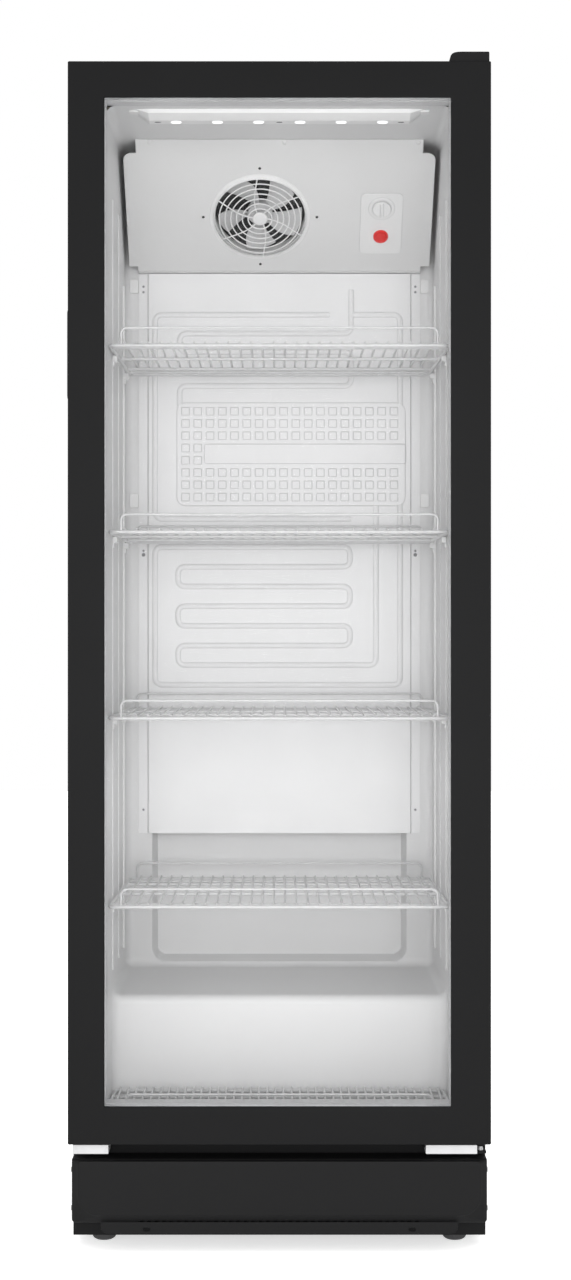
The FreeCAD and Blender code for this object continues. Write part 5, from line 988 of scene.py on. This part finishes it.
def make_fan_guard():
    """A flanged ring and concentric wires on six swirled spokes."""
    work = Work(on_fan())
    work.collar(((79.5, 0.1), (79.5, 0.8), (79.0, 1.3), (75.6, 1.5), (74.2, 2.4), (73.6, 4.8),
                 (73.0, 5.5), (72.4, 4.8), (72.4, 0.1)))
    first_ring, ring_pitch = 18.9, 9.16
    for ring in range(6):
        radius = first_ring + ring_pitch * ring
        work.tube(circle((0, 0), radius, 5.0, 56), 1.05, looped=True, sides=8)
    work.lathe([(11.6, 3.0), (11.8, 3.6), (11.8, 5.2), (11.2, 6.0), (9.0, 6.5), (3.0, 6.9)],
               steps=40)
    inner, outer, swirl = 10.0, 73.0, math.radians(23)
    for turn in range(6):
        outward = math.radians(93.4 + 60 * turn)
        path = []
        for step in range(9):
            share = step / 8
            radius = inner + (outer - inner) * share
            angle = outward + swirl * (1 - share) ** 1.4
            path.append((radius * math.cos(angle), radius * math.sin(angle), 3.7))
        work.tube(path, 1.1, sides=8)
    work.fit("fan_guard_wires", "cabinet", white_plastic, "white_plastic", "fan_guard")


def make_fan_blades():
    """Five wide, cupped blades on a round hub."""
    work = Work(on_fan(-13.5))
    swept = extent("evaporator_fan_blade")
    root, tip = 18.5, (swept.right - swept.left) / 2 - 0.4
    work.lathe([(19.0, -7.5), (20.0, -6.8), (20.0, 5.6), (19.0, 7.0), (16.0, 7.7), (4.0, 7.9)],
               steps=40)
    for blade in range(5):
        start = math.radians(72 * blade + 42)
        sweep = math.radians(46)
        rings = []
        for i in range(8):
            radius = root + (tip - root) * i / 7
            lag = math.radians(14) * (i / 7) ** 1.5
            upper, lower = [], []
            for j in range(10):
                share = j / 9
                angle = start + lag + sweep * (share - 0.5) * (0.86 + 0.14 * math.sin(i / 7 * 3.1))
                height = 7.0 * (0.5 - share) * 2 * (0.75 + 0.25 * i / 7)
                height += 1.6 * math.sin(share * math.pi) * (i / 7)
                point = (radius * math.cos(angle), radius * math.sin(angle))
                upper.append((*point, height + 0.8))
                lower.append((*point, height - 0.8))
            rings.append(upper + lower[::-1])
        work.loft(rings)
    work.fit("fan_blades", "evaporator_fan", fan_plastic, "fan_grey", "evaporator_fan_blade",
             crease=50)


def make_controls():
    """The plate with its dial, knob and lit switch."""
    plate = Work(ON_SLOPE)
    x, level = DIAL
    a, b = (x - 33, x + 33), (36.0, 149.0)
    plate.sheet(oblong(a, b, 8.0, steps=8),
                [circle(DIAL, 5, steps=20), circle(SWITCH, 10.5, steps=30)], (0.0, SKIN), 0.5)
    plate.collar(((20.5, 1.4), (20.5, 2.0), (20.0, 2.5), (15.8, 2.5), (15.3, 2.1), (15.3, 1.4)),
                 DIAL, 60)
    marks = 18.0
    for turn in range(-4, 5):
        angle = math.radians(90 - 30 * turn)
        spot = (x + marks * math.cos(angle), level + marks * math.sin(angle))
        plate.lathe([(0.55, 2.3), (0.55, 2.62), (0.3, 2.75)], spot, 10)
    plate.fit("control_panel_plate", "cabinet", white_plastic, "white_plastic", "control_plate")
    # thin darker bands round the foot of the plate, at the dial collar and beside the knob's grip:
    # painted shade
    lines = Work(ON_SLOPE)
    lines.frame(a, b, 8.0, ((-0.7, 0.0), (-0.7, 0.2), (0.1, 0.2), (0.1, 0.0)), 8)
    for radius, low in ((14.9, 2.1), (20.7, 1.4)):
        lines.collar(((radius + 0.4, low), (radius + 0.4, low + 0.3), (radius - 0.3, low + 0.3),
                      (radius - 0.3, low)), DIAL, 60)
    for offset in (-2.8, 2.8):
        lines.slab((x + offset - 0.3, x + offset + 0.3), (level - 12.0, level + 12.0),
                   (6.1, 6.5), radius=0.2, edge=0.1)
    lines.fit("control_panel_painted_edge_shade", "cabinet", painted_edge_shade, "white_plastic")
    knob = Work(ON_SLOPE)
    knob.lathe([(13.6, 2.9), (14.5, 3.4), (14.5, 5.4), (14.0, 6.2), (12.9, 6.6), (11.0, 6.2),
                (2.0, 6.2)], DIAL, 90, ribs=30, rib=0.25)
    knob.slab((x - 2.5, x + 2.5), (level - 13.0, level + 13.0), (5.0, 9.3), radius=2.3, edge=0.9)
    knob.lathe([(3.0, -10.0), (3.0, 3.5)], DIAL, 20)
    knob.fit("thermostat_dial_knob", "knob", white_plastic, "white_plastic", "thermostat_knob")
    bezel = Work(ON_SLOPE)
    bezel.collar(((10.4, -16.0), (10.4, 1.5), (11.9, 1.5), (11.9, 3.4), (11.3, 4.3), (10.2, 4.5),
                  (9.3, 4.0), (9.15, 2.6), (9.15, -12.0), (9.6, -16.0)), SWITCH, 48)
    bezel.fit("switch_ring", "cabinet", red_lens, "red_plastic", "switch_bezel")
    button = Work(ON_SLOPE)
    button.lathe([(4.4, -9.0), (4.4, -4.0), (8.8, -4.0), (8.8, 4.4), (8.3, 5.2), (7.2, 5.5)],
                 SWITCH, 44)
    button.fit("switch_cap", "button", red_lens, "red_plastic", "switch_button")


def make_lamp():
    """A white batten under the ceiling with tapered ends and round lenses on its lower face."""
    lamp = extent("lamp_housing")
    half = lamp.right
    low_half = half - 16
    work = Work()
    rings = []
    section = [(lamp.front, 0.0), (lamp.front + 2.0, 0.42), (lamp.front + 10, 0.72),
               (lamp.front + 18, 0.96), (lamp.front + 20, 1.0), (lamp.back - 1, 1.0),
               (lamp.back, 0.95), (lamp.back, 0.0)]
    drop = lamp.top - lamp.foot
    for x, share in ((-half, 0.06), (-half + 1, 0.12), (-low_half, 0.97), (-low_half + 1.5, 1.0),
                     (low_half - 1.5, 1.0), (low_half, 0.97), (half - 1, 0.12), (half, 0.06)):
        rings.append([(x, d, lamp.top - drop * down * share) for d, down in section])
    work.loft(rings)
    work.place = lying(0)
    for x in (-212, 212):
        work.slab((x - 7, x + 7), (lamp.front + 6, lamp.front + 24),
                  (lamp.top - 3.0, lamp.top), radius=4.0, edge=0.8)
    work.fit("lamp_batten", "cabinet", white_plastic, "white_plastic", "lamp_housing")
    lenses = Work(lying(lamp.foot))
    lens_pitch = 60.4
    for step in range(6):
        x = lens_pitch * (step - 2.5)
        lenses.lathe([(7.8, 1.6), (7.8, 0.0), (7.2, -0.5), (5.0, -0.75), (2.0, -0.8)],
                     (x, lamp.back - 12), 32)
    lenses.fit("lamp_lenses", "cabinet", lamp_lens, "lens_clear", "led_strip")
    screws = Work(lying(lamp.foot))
    for x in (-178, 0, 178):
        screws.slab((x - 4.6, x + 4.6), (lamp.back - 14.5, lamp.back - 9.5), (-0.15, 0.6),
                    radius=2.4, edge=0.1)
    screws.fit("lamp_screws", "cabinet", dark_enamel, "zinc_steel")


# ---------------------------------------------------------------- shelves


def wire_grid(work, box, rail_rows, count, pitch, guard, guard_half, guard_top, taper=5.0):
    """A welded grid: a frame wire, cross rails, front-to-back wires and upright guard wires."""
    rail, cross_rail, wire, guard_wire = 3.0, 2.4, 1.7, 1.9
    level = box.foot + rail
    front, back = box.front + rail, box.back - rail
    half = box.right - rail
    work.tube([(-half, front, level), (half, front, level), (half - taper, back, level),
               (-half + taper, back, level)], rail, 9.0, looped=True, sides=12)
    for depth in rail_rows:
        reach = half - taper * (depth - front) / (back - front)
        work.tube([(-reach, depth, level), (reach, depth, level)], cross_rail, sides=10)
    over = level + rail + 1.2
    for step in range(count):
        x = pitch * (step - (count - 1) / 2)
        work.tube([(x, front - 1.5, over), (x, back + 1.5, over)], wire, sides=8)
    for depth in guard:
        work.tube([(-guard_half, depth, level + 1.5), (-guard_half, depth, guard_top),
                   (guard_half, depth, guard_top), (guard_half, depth, level + 1.5)],
                  guard_wire, 9.0, sides=10)


def make_shelves():
    for name in SHELVES:
        box = extent(name)
        work = Work()
        front = box.front + 3
        wire_grid(work, box, (front + 25, front + 157, front + 284, box.back - 35), 28, 16.6,
                  (front, box.back - 3), 230.2, box.top - 1.9)
        work.fit(f"{name}_wires", name, wire_coat, "shelf_wire", name, crease=60)
    box = extent("bottom_rack")
    work = Work()
    front = box.front + 3
    slim = SimpleNamespace(**{**vars(box), "foot": 196.0})
    wire_grid(work, slim, (front + 40,), 40, 12.1, (front,), 220.2, box.top - 1.9, taper=2.0)
    work.place = lying(0)
    for x in (-200, 200):
        for depth in (front, box.back - 3):
            work.lathe([(2.5, 185.4), (2.9, 185.8), (2.9, 187.5), (2.5, 188.2), (2.5, 197.0)],
                       (x, depth), 16)
    work.fit("floor_rack_wires", "bottom_rack", wire_coat, "shelf_wire", "bottom_rack", crease=60)


# ---------------------------------------------------------------- CAD pieces that stay


def finish_carried_pieces():
    """Gives every CAD piece that still shows its own finish, and all but the condenser, pipes and
    glass spacer slightly eased edges.
    """
    carried = {
        black_paint: ("side_panel_left", "side_panel_right", "top_panel", "rear_panel",
                      "rear_grille", "base_frame", "front_strips"),
        galvanised: ("condenser_fan_frame",),
        zinc_plate: ("top_hinge_bracket", "hinge_bushes"),
        dark_enamel: ("panel_screws", "condenser"),
        spacer_bar: ("glass_spacer",),
        motor_enamel: ("compressor", "evaporator_fan_motor"),
        soft_rubber: ("compressor_mounts", "mains_gland"),
        copper_tube: ("refrigerant_pipes",),
        fan_plastic: ("condenser_fan_blade",),
        white_plastic: ("thermostat",),
        black_plastic: ("electrical_box",),
    }
    plain = {"condenser", "refrigerant_pipes", "glass_spacer"}
    for finish, nodes in carried.items():
        for name in nodes:
            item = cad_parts[name]
            for slot in item.material_slots:
                slot.material = finish
            if name not in plain:
                eased = item.modifiers.new("eased_edges", "BEVEL")
                eased.width = 0.3 * MM
                eased.segments = 2
                eased.limit_method = "ANGLE"
                eased.angle_limit = math.radians(50)
                eased.harden_normals = True


# ---------------------------------------------------------------- stage


def make_stage():
    floor = Work(lying(0))
    floor.slab((-9000, 9000), (-6000, 9000), (-20, -0.02), radius=200, edge=1)
    made = floor.mesh("studio_floor", MM)
    finish = coated("floor_finish", (0.96, 0.96, 0.96), 0.6, 6.0, 0.01, patch=900, spread=0.004,
                    Emission_Color=(1, 1, 1, 1), Emission_Strength=0.6)
    made.materials.append(finish)
    ground = bpy.data.objects.new("studio_floor", made)
    bpy.context.scene.collection.objects.link(ground)

    world = bpy.data.worlds.new("studio")
    world.use_nodes = True
    sky = world.node_tree.nodes["Background"]
    sky.inputs["Color"].default_value = (1, 1, 1, 1)
    sky.inputs["Strength"].default_value = 1.0
    scene = bpy.context.scene
    scene.world = world
    scene.view_settings.view_transform = "Standard"

    def lamp(name, place, aim, size, power):
        light = bpy.data.lights.new(name, "AREA")
        light.shape = "RECTANGLE"
        light.size, light.size_y = size
        light.energy = power
        holder = bpy.data.objects.new(name, light)
        holder.location = place
        holder.rotation_euler = (Vector(aim) - Vector(place)).to_track_quat("-Z", "Y").to_euler()
        scene.collection.objects.link(holder)

    lamp("front_softbox", (0, -4.9, 1.1), (0, 0, 0.5), (2.0, 2.0), 88)
    lamp("cabinet_light", (0, DOOR_FACE + 0.1, 0.72), (0, DOOR_FACE + 0.22, 0.2),
         (0.36, 0.05), 0.16)

    view = bpy.data.cameras.new("camera")
    view.sensor_width = 36.0
    view.lens = 61.34
    view.shift_x = 0.004765625
    view.shift_y = -0.00625
    camera = bpy.data.objects.new("camera", view)
    camera.location = (0, DOOR_FACE - 3.09, 0.8835)
    camera.rotation_euler = (math.radians(90), 0, 0)
    scene.collection.objects.link(camera)
    scene.camera = camera


make_liner()
make_foam()
make_wall_ribs()
make_door_frame()
make_door_lining()
make_panes()
make_pull()
make_hinge_cover()
make_lower_brackets()
make_kick_panel()
make_feet()
make_cold_plate()
make_fan_cover()
make_fan_guard()
make_fan_blades()
make_controls()
make_lamp()
make_shelves()
finish_carried_pieces()
make_stage()
